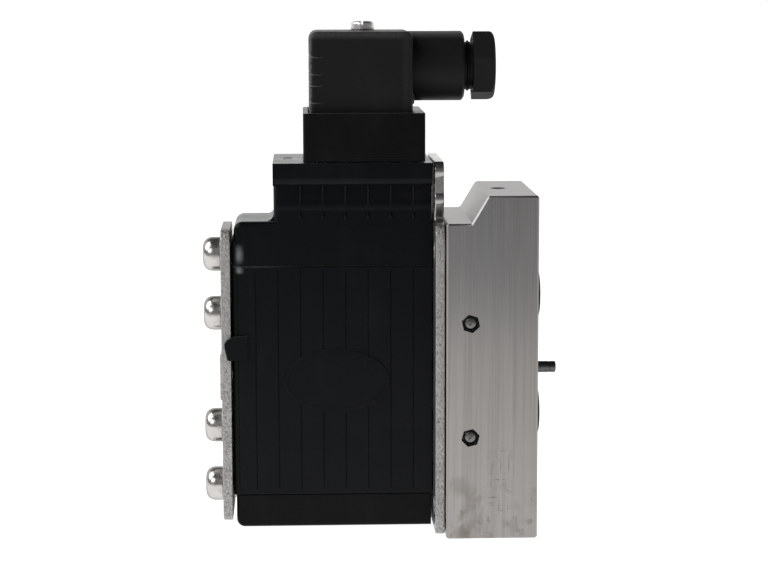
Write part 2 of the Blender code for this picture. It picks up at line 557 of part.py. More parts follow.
def build():
    clear()
    mats = {
        "aluminium": material("machined_aluminium", (0.62, 0.60, 0.58), 0.38, 1.0),
        "zinc": material("zinc_plated_steel", (0.72, 0.70, 0.68), 0.32, 1.0),
        "steel": material("steel", (0.60, 0.60, 0.61), 0.25, 1.0),
        "bright": material("ball_steel", (0.75, 0.75, 0.76), 0.12, 1.0),
        "spring": material("spring_steel", (0.45, 0.45, 0.46), 0.3, 1.0),
        "plastic": material("black_plastic", (0.018, 0.018, 0.020), 0.45, 0.0),
        "light_plastic": material("grey_plastic", (0.30, 0.30, 0.31), 0.5, 0.0),
        "winding": material("coil_overmould", (0.035, 0.030, 0.028), 0.5, 0.0),
        "board": material("circuit_board", (0.02, 0.12, 0.06), 0.5, 0.0),
        "brass": material("tinned_brass", (0.70, 0.58, 0.32), 0.3, 1.0),
        "rubber": material("black_rubber", (0.012, 0.012, 0.012), 0.7, 0.0),
    }
    pilot_block(mats["aluminium"])
    inner_yoke_plate(mats["zinc"])
    outer_yoke_plate(mats["zinc"])
    for i, h in enumerate(SOL_H, 1):
        yoke_screw(f"yoke_screw_{i}", h, mats["zinc"])
        coil(f"pilot_coil_{i}", h, mats["winding"])
        core_tube(f"core_tube_{i}", h, mats["steel"])
        armature(f"armature_{i}", h, mats["steel"])
        finish(f"return_spring_{i}", helix((0, h), -51.7, -43.1, 1.35, 0.24, 3.5, steps=8, sides=4), mats["spring"], origin=(-51.7, 0, h))
    transducer(mats)
    housing_shell(mats["plastic"])
    bottom_cap(mats["plastic"])
    circuit_board(mats["board"])
    socket_collar(mats["plastic"])
    plug_at = pivot("plug_axis", (PLUG_C, 0, PLUG_H0))
    contacts(mats["brass"], mats["brass"],
             (("contact_blade_1", "terminal_1"), ("contact_blade_2", "terminal_2"),
              ("contact_blade_3", "terminal_3"), ("earth_blade", "earth_terminal")), plug_at)
    plug_hood(mats["plastic"], plug_at)
    plug_insert(mats["light_plastic"], plug_at)
    gasket = box(-60.1, -32.85, -13.6, 13.6, 103.3, 103.7)
    gasket = cut(gasket, box(-57.6, -33.8 - 1.5, -11.1, 11.1, 103.0, 104.0))
    finish("plug_gasket", gasket, mats["rubber"], origin=(PLUG_C, 0, 103.3), parent=plug_at)
    gland(mats, plug_at)
    centre_screw(mats, plug_at)
    for name, h in (("upper", 58.22), ("lower", 27.53)):
        expander(name, h, mats)
    port_seal("upper", 63.3, mats["rubber"])
    port_seal("lower", 30.8, mats["rubber"])
    finish("gallery_plug", lathe([(88.0, 0), (88.0, 1.3), (90.4, 1.3), (90.4, 0)], "z", (-8.94, 0), 12), mats["steel"],
           origin=(-8.94, 0, 88.0))


build()
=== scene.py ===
import math
import bpy
import bmesh
from mathutils import Matrix, Vector


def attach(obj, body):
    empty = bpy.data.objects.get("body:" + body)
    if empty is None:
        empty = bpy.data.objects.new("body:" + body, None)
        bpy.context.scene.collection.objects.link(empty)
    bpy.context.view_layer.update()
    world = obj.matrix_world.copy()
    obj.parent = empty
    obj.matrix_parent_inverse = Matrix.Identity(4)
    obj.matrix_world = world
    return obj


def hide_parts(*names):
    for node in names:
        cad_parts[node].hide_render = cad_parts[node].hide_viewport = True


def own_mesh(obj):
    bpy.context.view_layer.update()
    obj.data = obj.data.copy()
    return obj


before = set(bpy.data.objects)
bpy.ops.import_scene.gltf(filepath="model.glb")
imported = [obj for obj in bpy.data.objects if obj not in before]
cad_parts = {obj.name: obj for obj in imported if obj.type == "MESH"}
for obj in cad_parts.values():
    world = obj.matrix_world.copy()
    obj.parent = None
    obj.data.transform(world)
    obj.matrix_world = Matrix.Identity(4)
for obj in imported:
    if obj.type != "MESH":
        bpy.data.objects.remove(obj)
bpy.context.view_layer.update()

# Lengths below are millimetres: X = 0 on the mounting face, Y = 0 at half depth, heights above the block's foot.
MM = 0.001
BLOCK_W, BLOCK_D, BLOCK_H = 24.37, 44.0, 92.06
SHELF_H, SHELF_X, RIDGE_X = 84.76, -17.77, -13.38
ORIGIN_H = BLOCK_H / 2
INNER_X0, INNER_X1 = -27.27, -24.67
OUTER_X0, OUTER_X1 = -84.10, -81.50
SHELL_X0, SHELL_X1, SHELL_Y = -81.20, -27.60, 12.0
SHELL_H0, SHELL_H1, WALL = 10.4, 84.6, 2.0
NECK_X0, FLANGE_X0, FLANGE_X1 = -69.85, -69.95, -27.8
FLANGE_H0, FLANGE_H1, FLANGE_Y = 94.3, 100.45, 16.7
RIB_X = tuple(-62.8 + 6.03 * i for i in range(6))
PAD_H1, PAD_T = 72.7, 0.5
OVAL_X, OVAL_H, OVAL_A, OVAL_B, OVAL_T = -53.2, 41.6, 14.2, 8.6, 0.35
CAP_H0, CAP_H1 = 1.3, 10.1
SOL_H, SENSOR_H = (74.6, 58.4, 27.3, 10.9), 42.7
SOCKET_X0, SOCKET_X1, SOCKET_Y = -61.85, -29.60, 16.2
SOCKET_H0, SOCKET_FLOOR, SOCKET_H1 = 100.75, 103.0, 113.5
PLUG_X0, PLUG_X1, PLUG_Y = -60.20, -32.75, 13.73
PLUG_H0, PLUG_H1, PLUG_C = 104.0, 134.8, -45.7
CABLE_H, BARREL_R, BARREL_X1 = 125.3, 9.33, -18.57
NECK_R, NECK_X1 = 6.8, -13.7
NUT_X0, NUT_X1, NUT_CORNER_R, NUT_PHASE = -16.2, -10.3, 9.6, math.radians(-15.0)
GRIP_H = (128.2, 123.7, 120.7, 116.2)
PIN_R = 1.55

# ==== mesh helpers ==============================================================


def box(x0, x1, y0, y1, z0, z1):
    bm = bmesh.new()
    bmesh.ops.create_cube(bm, size=1.0)
    for v in bm.verts:
        v.co = Vector(((x0 + x1) / 2 + v.co.x * (x1 - x0), (y0 + y1) / 2 + v.co.y * (y1 - y0),
                       (z0 + z1) / 2 + v.co.z * (z1 - z0)))
    return bm


def put(axis, a, u, v):
    return Vector((a, u, v)) if axis == "x" else Vector((u, a, v)) if axis == "y" else Vector((u, v, a))


def prism(outline, axis, a0, a1):
    bm = bmesh.new()
    face = bm.faces.new([bm.verts.new(put(axis, a0, u, v)) for u, v in outline])
    grown = bmesh.ops.extrude_face_region(bm, geom=[face])
    bmesh.ops.translate(bm, vec=put(axis, a1 - a0, 0.0, 0.0),
                        verts=[g for g in grown["geom"] if isinstance(g, bmesh.types.BMVert)])
    bmesh.ops.recalc_face_normals(bm, faces=bm.faces)
    return bm


def lathe(profile, axis, centre, seg=48, ring=False, phase=0.0, shape=None):
    """shape(angle, radius, along) may change the radius, for lobes and staking."""
    bm = bmesh.new()
    rings = []
    for a, r in profile:
        if r <= 1e-6:
            rings.append([bm.verts.new(put(axis, a, *centre))])
            continue
        row = []
        for k in range(seg):
            t = phase + 2 * math.pi * k / seg
            rr = shape(t, r, a) if shape else r
            row.append(bm.verts.new(put(axis, a, centre[0] + rr * math.cos(t), centre[1] + rr * math.sin(t))))
        rings.append(row)
    pairs = list(zip(rings, rings[1:]))
    if ring:
        pairs.append((rings[-1], rings[0]))
    for one, two in pairs:
        for k in range(seg):
            n = (k + 1) % seg
            if len(one) == 1 and len(two) == 1:
                continue
            if len(one) == 1:
                bm.faces.new((one[0], two[k], two[n]))
            elif len(two) == 1:
                bm.faces.new((one[k], one[n], two[0]))
            else:
                bm.faces.new((one[k], one[n], two[n], two[k]))
    bmesh.ops.recalc_face_normals(bm, faces=bm.faces)
    return bm


def rod(axis, a0, a1, centre, r, seg=40, phase=0.0, mouth=0.0):
    """A straight cutter or rod; mouth widens the end at a1, as a countersink does."""
    if mouth:
        return lathe([(a0, 0), (a0, r), (a1 - math.copysign(mouth, a1 - a0), r), (a1, r + mouth), (a1, 0)], axis, centre, seg, phase=phase)
    return lathe([(a0, 0), (a0, r), (a1, r), (a1, 0)], axis, centre, seg, phase=phase)


def bevel(bm, test, width, seg=3, profile=0.5):
    edges = [e for e in bm.edges if test(e.verts[0].co, e.verts[1].co)]
    bmesh.ops.bevel(bm, geom=edges, offset=width, offset_type="OFFSET", segments=seg, profile=profile,
                    affect="EDGES", clamp_overlap=True)
    return bm


def along(letter, *conditions):
    i = "xyz".index(letter)
    others = [k for k in range(3) if k != i]

    def test(p, q):
        if any(abs(p[k] - q[k]) > 1e-4 for k in others) or abs(p[i] - q[i]) < 1e-4:
            return False
        return all(any(abs(p["xyz".index(c)] - w) < 1e-3 for w in ws) for c, ws in conditions)
    return test


def on_plane(letter, value):
    i = "xyz".index(letter)
    return lambda p, q: abs(p[i] - value) < 1e-3 and abs(q[i] - value) < 1e-3


def scratch(bm, name):
    me = bpy.data.meshes.new(name)
    bm.to_mesh(me)
    bm.free()
    ob = bpy.data.objects.new(name, me)
    bpy.context.scene.collection.objects.link(ob)
    return ob


def boolean(base, tool, operation):
    a, b = scratch(base, "base"), scratch(tool, "tool")
    mod = a.modifiers.new("cut", "BOOLEAN")
    mod.operation, mod.solver, mod.object = operation, "EXACT", b
    graph = bpy.context.evaluated_depsgraph_get()
    graph.update()
    me = bpy.data.meshes.new_from_object(a.evaluated_get(graph))
    out = bmesh.new()
    out.from_mesh(me)
    for ob in (a, b):
        data = ob.data
        bpy.data.objects.remove(ob, do_unlink=True)
        bpy.data.meshes.remove(data)
    bpy.data.meshes.remove(me)
    return out


def cut(bm, *tools):
    for tool in tools:
        bm = boolean(bm, tool, "DIFFERENCE")
    return bm


def join(bm, *tools):
    for tool in tools:
        bm = boolean(bm, tool, "UNION")
    return bm


def arc(cx, cy, r, a0, a1, n):
    return [(cx + r * math.cos(math.radians(a0 + (a1 - a0) * k / n)),
             cy + r * math.sin(math.radians(a0 + (a1 - a0) * k / n))) for k in range(n + 1)]


def piece(name, bm, mat, body, replaces=(), angle=30):
    bmesh.ops.remove_doubles(bm, verts=bm.verts, dist=0.0005)
    bmesh.ops.dissolve_degenerate(bm, edges=bm.edges, dist=0.0005)
    bmesh.ops.recalc_face_normals(bm, faces=bm.faces)
    for v in bm.verts:
        v.co = (v.co - Vector((0, 0, ORIGIN_H))) * MM
    me = bpy.data.meshes.new(name)
    bm.to_mesh(me)
    bm.free()
    me.shade_smooth()
    me.set_sharp_from_angle(angle=math.radians(angle))
    ob = bpy.data.objects.new(name, me)
    bpy.context.scene.collection.objects.link(ob)
    me.materials.append(mat)
    flat = ob.modifiers.new("flat_faces", "WEIGHTED_NORMAL")   # broad faces keep their own direction next to edge rounds
    flat.mode, flat.weight, flat.keep_sharp = "FACE_AREA", 100, True
    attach(ob, body)
    if replaces:
        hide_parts(*replaces)
    return ob


# ==== materials =================================================================


class Mat:
    """A Principled material with object-space procedural detail. Coordinates are in millimetres."""

    def __init__(self, name, base, rough, metal=0.0, spec=0.5):
        self.m = bpy.data.materials.new(name)
        self.m.use_nodes = True
        self.t = self.m.node_tree
        self.b = self.t.nodes["Principled BSDF"]
        self.b.inputs["Base Color"].default_value = (*base, 1)
        self.b.inputs["Roughness"].default_value = rough
        self.b.inputs["Metallic"].default_value = metal
        self.b.inputs["Specular IOR Level"].default_value = spec
        self.base, self.rough = base, rough
        self.normal = None
        self.coord = self.t.nodes.new("ShaderNodeTexCoord").outputs["Object"]

    def node(self, kind, **values):
        n = self.t.nodes.new(kind)
        for k, v in values.items():
            setattr(n, k, v)
        return n

    def link(self, a, b):
        self.t.links.new(a, b)

    def mapped(self, scale, offset=(0, 0, 0)):
        n = self.node("ShaderNodeMapping")
        n.inputs["Scale"].default_value = [s * 1000 for s in scale]
        n.inputs["Location"].default_value = offset
        self.link(self.coord, n.inputs["Vector"])
        return n.outputs["Vector"]

    def noise(self, scale=(1, 1, 1), detail=4.0, rough=0.55, offset=(0, 0, 0), distort=0.0):
        n = self.node("ShaderNodeTexNoise")
        n.inputs["Scale"].default_value = 1.0
        n.inputs["Detail"].default_value = detail
        n.inputs["Roughness"].default_value = rough
        n.inputs["Distortion"].default_value = distort
        self.link(self.mapped(scale, offset), n.inputs["Vector"])
        return n.outputs["Fac"]

    def voronoi(self, scale=(1, 1, 1), feature="F1", offset=(0, 0, 0)):
        n = self.node("ShaderNodeTexVoronoi", feature=feature)
        n.inputs["Scale"].default_value = 1.0
        self.link(self.mapped(scale, offset), n.inputs["Vector"])
        return n.outputs["Distance"]

    def ramp(self, fac, lo, hi, a=0.0, b=1.0):
        n = self.node("ShaderNodeMapRange")
        n.interpolation_type = "SMOOTHSTEP"
        for k, v in (("From Min", lo), ("From Max", hi), ("To Min", a), ("To Max", b)):
            n.inputs[k].default_value = v
        self.link(fac, n.inputs["Value"])
        return n.outputs["Result"]

    def math(self, op, a, b=None):
        n = self.node("ShaderNodeMath", operation=op)
        for i, x in enumerate((a, b)):
            if x is None:
                continue
            if isinstance(x, (int, float)):
                n.inputs[i].default_value = x
            else:
                self.link(x, n.inputs[i])
        return n.outputs[0]

    def position(self, letter):
        """The object coordinate along one axis, in millimetres, with heights above the block's foot."""
        n = self.node("ShaderNodeSeparateXYZ")
        self.link(self.coord, n.inputs[0])
        mm = self.math("MULTIPLY", n.outputs["XYZ".index(letter)], 1000.0)
        return self.math("ADD", mm, ORIGIN_H) if letter == "Z" else mm

    def facing(self, letter):
        """How far the surface faces along an axis, 0 to 1, either way."""
        return self.math("ABSOLUTE", self.towards(letter))

    def towards(self, letter):
        """How far the surface faces along an axis, -1 to 1."""
        g = self.node("ShaderNodeNewGeometry")
        n = self.node("ShaderNodeSeparateXYZ")
        self.link(g.outputs["Normal"], n.inputs[0])
        return n.outputs["XYZ".index(letter)]

    def tint(self, fac, colour):
        """Mixes the base colour so far towards a colour by fac."""
        n = self.node("ShaderNodeMix", data_type="RGBA")
        s = self.b.inputs["Base Color"]
        if s.is_linked:
            self.link(s.links[0].from_socket, n.inputs["A"])
        else:
            n.inputs["A"].default_value = s.default_value
        n.inputs["B"].default_value = (*colour, 1)
        self.link(fac, n.inputs["Factor"])
        self.link(n.outputs["Result"], s)

    def roughen(self, fac, amount):
        """Adds fac * amount to the roughness."""
        s = self.b.inputs["Roughness"]
        add = self.math("MULTIPLY", fac, amount)
        total = self.math("ADD", add, s.links[0].from_socket if s.is_linked else s.default_value)
        self.link(total, s)

    def bump(self, height, depth_mm, strength=1.0):
        n = self.node("ShaderNodeBump")
        n.inputs["Strength"].default_value = strength
        n.inputs["Distance"].default_value = depth_mm * MM
        self.link(height, n.inputs["Height"])
        if self.normal is not None:
            self.link(self.normal, n.inputs["Normal"])
        self.normal = n.outputs["Normal"]
        self.link(self.normal, self.b.inputs["Normal"])


def plastic(name, base, rough, grain=1.0, spec=0.14, dust=0.10, top_sheen=0.0):
    """Glass-filled moulded plastic: fine grain, faint flow marks, dust and rubbed spots, and a painted sheen on faces
    that face up.
    """
    m = Mat(name, base, rough, 0.0, spec)
    # surfaces that face up are paler: fine dust settled in the grain, together with a painted sheen, the light on the
    # tops painted into the colour
    dust_and_sheen_on_top = m.math("MULTIPLY", m.ramp(m.towards("Z"), 0.80, 0.98), m.ramp(m.noise((0.35, 0.35, 0.35), 4, 0.6, (8, 1, 6)), 0.25, 0.7, 0.75, 1.0))
    fine = m.noise((3.2, 3.2, 3.2), 3, 0.6)
    flow = m.noise((0.05, 0.05, 0.16), 3, 0.5, distort=0.6)
    m.roughen(m.ramp(flow, 0.35, 0.7), 0.08)
    m.roughen(m.ramp(fine, 0.4, 0.75), 0.05)
    m.bump(fine, 0.006 * grain)
    m.bump(m.noise((0.30, 0.30, 0.16), 2, 0.5), 0.022 * grain)
    specks = m.ramp(m.noise((2.2, 2.2, 2.2), 2, 0.7, (31, 7, 5)), 0.70, 0.77)
    smear = m.ramp(m.noise((0.10, 0.10, 0.03), 4, 0.6, (3, 9, 1)), 0.48, 0.75)
    m.tint(m.math("MULTIPLY", smear, dust), (0.030, 0.031, 0.033))
    m.tint(m.math("MULTIPLY", specks, dust * 1.6), (0.085, 0.085, 0.082))
    rub = m.ramp(m.noise((1.4, 1.4, 0.08), 3, 0.7, (1, 2, 3)), 0.66, 0.74)
    m.roughen(rub, -0.08)
    # painted sheen with dust: faces that face up are tinted pale grey
    m.tint(m.math("MULTIPLY", dust_and_sheen_on_top, top_sheen), (0.50, 0.49, 0.49))
    return m.m


def aluminium_block():
    """Milled and brushed along its height, with faint oil stains and a tool line."""
    m = Mat("block_aluminium_brushed", (0.300, 0.292, 0.287), 0.34, 1.0)
    z, x = m.position("Z"), m.position("X")
    streak = m.noise((6.0, 6.0, 0.035), 5, 0.65)
    wide = m.noise((0.9, 0.9, 0.012), 4, 0.6, (4, 2, 9))
    hair = m.noise((26, 26, 0.10), 3, 0.6, (7, 1, 0))
    # painted reflection: the bar is a touch paler and warmer towards its foot, where the white floor mirrors in it; it
    # is also paler towards its left side
    m.tint(m.ramp(z, 82.0, 46.0, 0.0, 0.85), (0.335, 0.317, 0.305))
    m.tint(m.ramp(x, -14.0, -24.0, 0.0, 0.45), (0.405, 0.385, 0.372))
    # painted shade: the upper half of the front and back faces is darkened, where they mirror the dim room
    upper = m.math("MULTIPLY", m.ramp(z, 46.0, 76.0), m.ramp(m.facing("Y"), 0.5, 0.9))
    m.tint(m.math("MULTIPLY", upper, 0.62), (0.170, 0.175, 0.182))
    m.tint(m.ramp(streak, 0.34, 0.66, 0.0, 0.42), (0.41, 0.393, 0.379))
    m.tint(m.ramp(wide, 0.42, 0.66, 0.0, 0.45), (0.245, 0.236, 0.229))
    # the strip beside the mounting face was taken by another pass of the cutter
    strip = m.ramp(x, -6.45, -6.25, 0.0, 0.20)
    m.tint(strip, (0.28, 0.270, 0.262))
    line = m.math("MULTIPLY", m.ramp(x, -6.62, -6.42), m.ramp(x, -6.24, -6.42))
    m.tint(m.math("MULTIPLY", line, 0.22), (0.20, 0.19, 0.18))
    # soft stains, strongest low down, and drips
    low = m.ramp(z, 26.0, 4.0)
    stain = m.ramp(m.noise((0.13, 0.13, 0.10), 5, 0.55, (11, 3, 5), 0.25), 0.50, 0.68)
    m.tint(m.math("MULTIPLY", m.math("MULTIPLY", stain, low), 0.55), (0.18, 0.155, 0.13))
    spots = m.ramp(m.noise((0.42, 0.42, 0.30), 4, 0.6, (5, 1, 12), 0.1), 0.58, 0.72)
    m.tint(m.math("MULTIPLY", m.math("MULTIPLY", spots, low), 0.45), (0.16, 0.14, 0.12))
    blot = m.ramp(m.noise((0.55, 0.55, 0.30), 4, 0.6, (2, 8, 1), 0.2), 0.58, 0.76)
    m.tint(m.math("MULTIPLY", blot, 0.10), (0.25, 0.235, 0.22))
    drips = m.ramp(m.noise((0.9, 0.9, 0.05), 5, 0.7, (5, 5, 2)), 0.60, 0.74)
    m.tint(m.math("MULTIPLY", drips, 0.16), (0.25, 0.235, 0.22))
    patch = m.math("MULTIPLY", m.math("MULTIPLY", m.ramp(x, -15.5, -11.5), m.ramp(x, -5.5, -8.5)),
                   m.math("MULTIPLY", m.ramp(z, 27.0, 22.0), m.ramp(z, 5.0, 10.0)))
    runs = m.math("MAXIMUM", m.ramp(m.noise((1.5, 1.5, 0.10), 4, 0.6, (9, 4, 4)), 0.54, 0.64),
                  m.ramp(m.noise((0.30, 0.30, 1.6), 4, 0.6, (2, 7, 7)), 0.58, 0.66))
    m.tint(m.math("MULTIPLY", m.math("MULTIPLY", runs, patch), 0.60), (0.15, 0.132, 0.117))
    m.roughen(m.ramp(streak, 0.3, 0.7), 0.08)
    m.roughen(m.math("MULTIPLY", stain, low), 0.10)
    m.bump(hair, 0.004)
    m.bump(streak, 0.008)
    nick = m.ramp(m.noise((1.1, 1.1, 0.9), 4, 0.75, (17, 1, 4)), 0.71, 0.75)
    m.bump(nick, -0.03)
    m.tint(m.math("MULTIPLY", nick, 0.30), (0.60, 0.58, 0.57))
    return m.m


def sheet_steel(name, base=(0.40, 0.392, 0.382)):
    """Zinc-plated sheet: cloudy faces, torn and burnished bands on the sheared edges."""
    m = Mat(name, base, 0.30, 1.0)
    tab = m.ramp(m.position("Z"), 83.6, 85.2)
    edge = m.math("MULTIPLY", m.ramp(m.facing("X"), 0.75, 0.45), m.math("SUBTRACT", 1.0, m.math("MULTIPLY", tab, 0.85)))
    m.roughen(tab, -0.14)
    cloud = m.noise((0.22, 0.22, 0.18), 5, 0.6)
    m.tint(m.ramp(cloud, 0.35, 0.7, 0.0, 0.5), (0.32, 0.312, 0.305))
    m.roughen(m.ramp(cloud, 0.3, 0.7), 0.12)
    x = m.position("X")
    torn = m.noise((2.4, 2.4, 1.3), 6, 0.75, (3, 3, 3), 0.5)
    pits = m.voronoi((1.9, 1.9, 1.1), "F1", (9, 2, 6))
    m.bump(m.math("MULTIPLY", torn, edge), 0.16)
    m.bump(m.math("MULTIPLY", pits, edge), 0.10)
    m.tint(m.math("MULTIPLY", m.ramp(torn, 0.50, 0.60), m.math("MULTIPLY", edge, 0.72)), (0.13, 0.127, 0.123))
    burnished = m.ramp(m.noise((2.0, 2.0, 1.5), 5, 0.7, (8, 2, 1)), 0.56, 0.66)
    m.tint(m.math("MULTIPLY", burnished, m.math("MULTIPLY", edge, 0.65)), (0.66, 0.65, 0.64))
    m.roughen(m.math("MULTIPLY", edge, m.ramp(torn, 0.3, 0.7)), 0.18)
    m.bump(m.noise((0.8, 0.8, 14.0), 3, 0.6, (1, 4, 8)), 0.004)
    scratch_mask = m.ramp(m.noise((0.30, 5.0, 0.22), 4, 0.7, (6, 2, 2), 2.0), 0.66, 0.70)
    m.bump(scratch_mask, -0.01)
    m.roughen(scratch_mask, 0.12)
    spot = m.ramp(m.noise((0.7, 0.7, 0.7), 4, 0.7, (2, 2, 7)), 0.66, 0.74)
    m.tint(m.math("MULTIPLY", spot, 0.25), (0.34, 0.32, 0.29))
    return m.m


def turned_steel(name, base, rough, axis="X", rings=3.0, wear=0.2, rim=0.6):
    """Turned or headed steel: fine rings across its axis, light handling marks."""
    m = Mat(name, base, rough, 1.0)
    m.b.inputs["Specular Tint"].default_value = (rim, rim, rim, 1)
    k = "XYZ".index(axis)
    scale = [0.3, 0.3, 0.3]
    scale[k] = rings * 4
    lines = m.noise(tuple(scale), 4, 0.6)
    blotch = m.noise((0.8, 0.8, 0.8), 4, 0.6, (4, 4, 1))
    m.bump(lines, 0.004)
    m.bump(m.noise((1.2, 1.2, 1.2), 2, 0.5), 0.012)
    m.roughen(m.ramp(blotch, 0.35, 0.7), 0.10)
    m.tint(m.math("MULTIPLY", m.ramp(blotch, 0.45, 0.75), wear), tuple(c * 0.55 for c in base))
    return m.m


def rubber(name, base=(0.012, 0.012, 0.012)):
    m = Mat(name, base, 0.62, 0.0, 0.35)
    n = m.noise((3, 3, 3), 4, 0.6)
    m.roughen(m.ramp(n, 0.35, 0.7), 0.15)
    m.bump(n, 0.015)
    m.tint(m.math("MULTIPLY", m.ramp(m.noise((0.5, 0.5, 0.5), 3, 0.6, (2, 1, 5)), 0.5, 0.72), 0.3), (0.045, 0.043, 0.04))
    return m.m


def brass_contact():
    m = Mat("tinned_contact", (0.66, 0.60, 0.48), 0.26, 1.0)
    n = m.noise((1.5, 1.5, 9.0), 4, 0.6)
    m.tint(m.ramp(n, 0.4, 0.75, 0.0, 0.5), (0.50, 0.40, 0.24))
    m.roughen(m.ramp(n, 0.3, 0.7), 0.12)
    m.bump(n, 0.006)
    return m.m


def board_material():
    m = Mat("board_solder_mask", (0.015, 0.10, 0.045), 0.35, 0.0)
    tracks = m.node("ShaderNodeTexBrick")
    tracks.inputs["Scale"].default_value = 1.0
    tracks.inputs["Mortar Size"].default_value = 0.03
    m.link(m.mapped((0.35, 0.35, 0.35)), tracks.inputs["Vector"])
    m.tint(m.math("MULTIPLY", tracks.outputs["Fac"], 0.7), (0.03, 0.20, 0.09))
    m.bump(tracks.outputs["Fac"], 0.03)
    m.roughen(m.noise((1, 1, 1)), 0.15)
    return m.m


def winding_material():
    m = Mat("coil_wrap", (0.04, 0.032, 0.028), 0.42, 0.0)
    turns = m.noise((3.2, 0.05, 0.05), 2, 0.4)
    m.bump(turns, 0.08)
    m.tint(m.ramp(turns, 0.45, 0.6, 0.0, 0.4), (0.16, 0.07, 0.03))
    m.roughen(m.noise((0.5, 0.5, 0.5)), 0.15)
    return m.m




def housing_plastic():
    """The housing's plastic, with painted highlights: a pale line on its parting edge at the left and soft pale patches
    on its left corner.
    """
    material = plastic("housing_plastic_black", (0.0036, 0.0042, 0.0048), 0.22, 1.0, 0.085, 0.07, 0.12)
    m = Mat.__new__(Mat)
    m.m, m.t = material, material.node_tree
    m.b = m.t.nodes["Principled BSDF"]
    m.coord = m.t.nodes.new("ShaderNodeTexCoord").outputs["Object"]
    x, z = m.position("X"), m.position("Z")
    wobble = m.noise((0.5, 0.5, 0.5), 4, 0.65, (3, 6, 2))
    # painted highlight: the parting edge is tinted pale towards the left end, where it catches the light
    line = m.ramp(m.math("ABSOLUTE", m.math("SUBTRACT", z, PAD_H1 - 0.15)), 0.34, 0.10)
    line = m.math("MULTIPLY", line, m.ramp(x, -62.0, -76.0))
    m.tint(m.math("MULTIPLY", line, m.ramp(wobble, 0.3, 0.6, 0.3, 0.9)), (0.040, 0.044, 0.050))
    # painted highlights: two soft pale patches on the rounded left corner, where the left lamp glints
    corner = m.math("MULTIPLY", m.ramp(x, SHELL_X0 + 3.7, SHELL_X0 + 1.9), m.ramp(x, SHELL_X0 + 0.8, SHELL_X0 + 1.9))
    corner_highlight_upper = m.ramp(m.math("ABSOLUTE", m.math("SUBTRACT", z, 75.75)), 3.3, 0.2)
    spot = m.ramp(m.math("ABSOLUTE", m.math("SUBTRACT", z, 71.7)), 1.3, 0.3)
    m.tint(m.math("MULTIPLY", m.math("MULTIPLY", corner, m.math("MAXIMUM", corner_highlight_upper, spot)), m.ramp(wobble, 0.25, 0.6, 0.35, 0.85)), (0.20, 0.205, 0.21))
    return m.m


M_HOUSING = housing_plastic()
M_CAP = plastic("cap_plastic_black", (0.0038, 0.0039, 0.0040), 0.24, 0.8, 0.075, 0.07, 0.12)
M_SOCKET = plastic("socket_plastic_black", (0.0046, 0.0047, 0.0049), 0.26, 0.8, 0.08, 0.10, 0.10)


def plug_plastic():
    """The plug's plastic, with painted highlights along its grips, its end, its rounded top edge and its right edge."""
    material = plastic("plug_plastic_black", (0.0098, 0.0098, 0.0100), 0.43, 1.8, 0.12, 0.10, 0.10)
    m = Mat.__new__(Mat)
    m.m, m.t = material, material.node_tree
    m.b = m.t.nodes["Principled BSDF"]
    m.coord = m.t.nodes.new("ShaderNodeTexCoord").outputs["Object"]
    x, z = m.position("X"), m.position("Z")
    wobble = m.noise((1.6, 1.6, 1.6), 4, 0.65, (3, 6, 2))
    near_end = m.ramp(x, PLUG_X0 + 4.2, PLUG_X0 + 0.6)
    # painted highlights: a pale line at each grip near the end, where the grip edges catch the light, broken up by
    # noise
    for h in GRIP_H:
        away = m.math("ABSOLUTE", m.math("SUBTRACT", z, h - 0.10))
        line = m.math("MULTIPLY", m.ramp(away, 0.30, 0.10), near_end)
        m.tint(m.math("MULTIPLY", line, m.ramp(wobble, 0.30, 0.55, 0.35, 0.80)), (0.135, 0.132, 0.13))
    # painted highlight: a pale band along the left end, where the left lamp mirrors
    rim = m.math("MULTIPLY", m.ramp(x, PLUG_X0 + 1.0, PLUG_X0 + 0.3), m.ramp(wobble, 0.34, 0.58))
    m.tint(m.math("MULTIPLY", rim, 0.7), (0.15, 0.147, 0.145))
    # painted highlight: the rounded top edge is tinted paler
    crown = m.math("MULTIPLY", m.ramp(z, PLUG_H1 - 2.4, PLUG_H1 - 0.6), m.ramp(m.towards("Z"), 0.95, 0.80))
    m.tint(m.math("MULTIPLY", crown, m.ramp(wobble, 0.3, 0.6, 0.5, 1.0)), (0.050, 0.050, 0.051))
    # painted highlight: a pale soft band down the right edge, where its rounding mirrors the bright floor
    seam = m.math("MULTIPLY", m.ramp(x, PLUG_X1 - 3.2, PLUG_X1 - 2.2), m.ramp(x, PLUG_X1 + 0.4, PLUG_X1 - 0.4))
    m.tint(m.math("MULTIPLY", seam, m.ramp(wobble, 0.3, 0.65, 0.25, 0.7)), (0.021, 0.021, 0.021))
    return m.m


M_PLUG = plug_plastic()
M_NUT = plastic("nut_plastic_black", (0.0150, 0.0151, 0.0153), 0.46, 1.0, 0.04)
M_INNER = plastic("insert_plastic_grey", (0.22, 0.22, 0.225), 0.48, 0.8, 0.5, 0.05)
M_BLOCK = aluminium_block()
M_PLATE = sheet_steel("yoke_plate_zinc")
M_SCREW = turned_steel("screw_zinc", (0.52, 0.505, 0.49), 0.20, "X", 2.0, 0.22, 0.45)
M_TOPSCREW = turned_steel("centre_screw_zinc", (0.86, 0.85, 0.84), 0.24, "Z", 2.0, 0.22, 0.7)
M_PIN = turned_steel("pin_ground_steel", (0.11, 0.11, 0.114), 0.30, "X", 5.0, 0.35)
M_INSIDE = turned_steel("core_steel", (0.56, 0.56, 0.565), 0.26, "X", 4.0, 0.2)
M_EXPANDER = turned_steel("expander_steel", (0.055, 0.054, 0.053), 0.35, "Y", 5.0, 0.45)
M_BALL = turned_steel("expander_ball_steel", (0.165, 0.162, 0.158), 0.24, "Y", 1.0, 0.25)
M_SPRING = turned_steel("spring_wire", (0.42, 0.42, 0.425), 0.26, "X", 1.0, 0.2)
M_RUBBER = rubber("nitrile_black")
M_BRASS = brass_contact()
M_BOARD = board_material()
M_WINDING = winding_material()

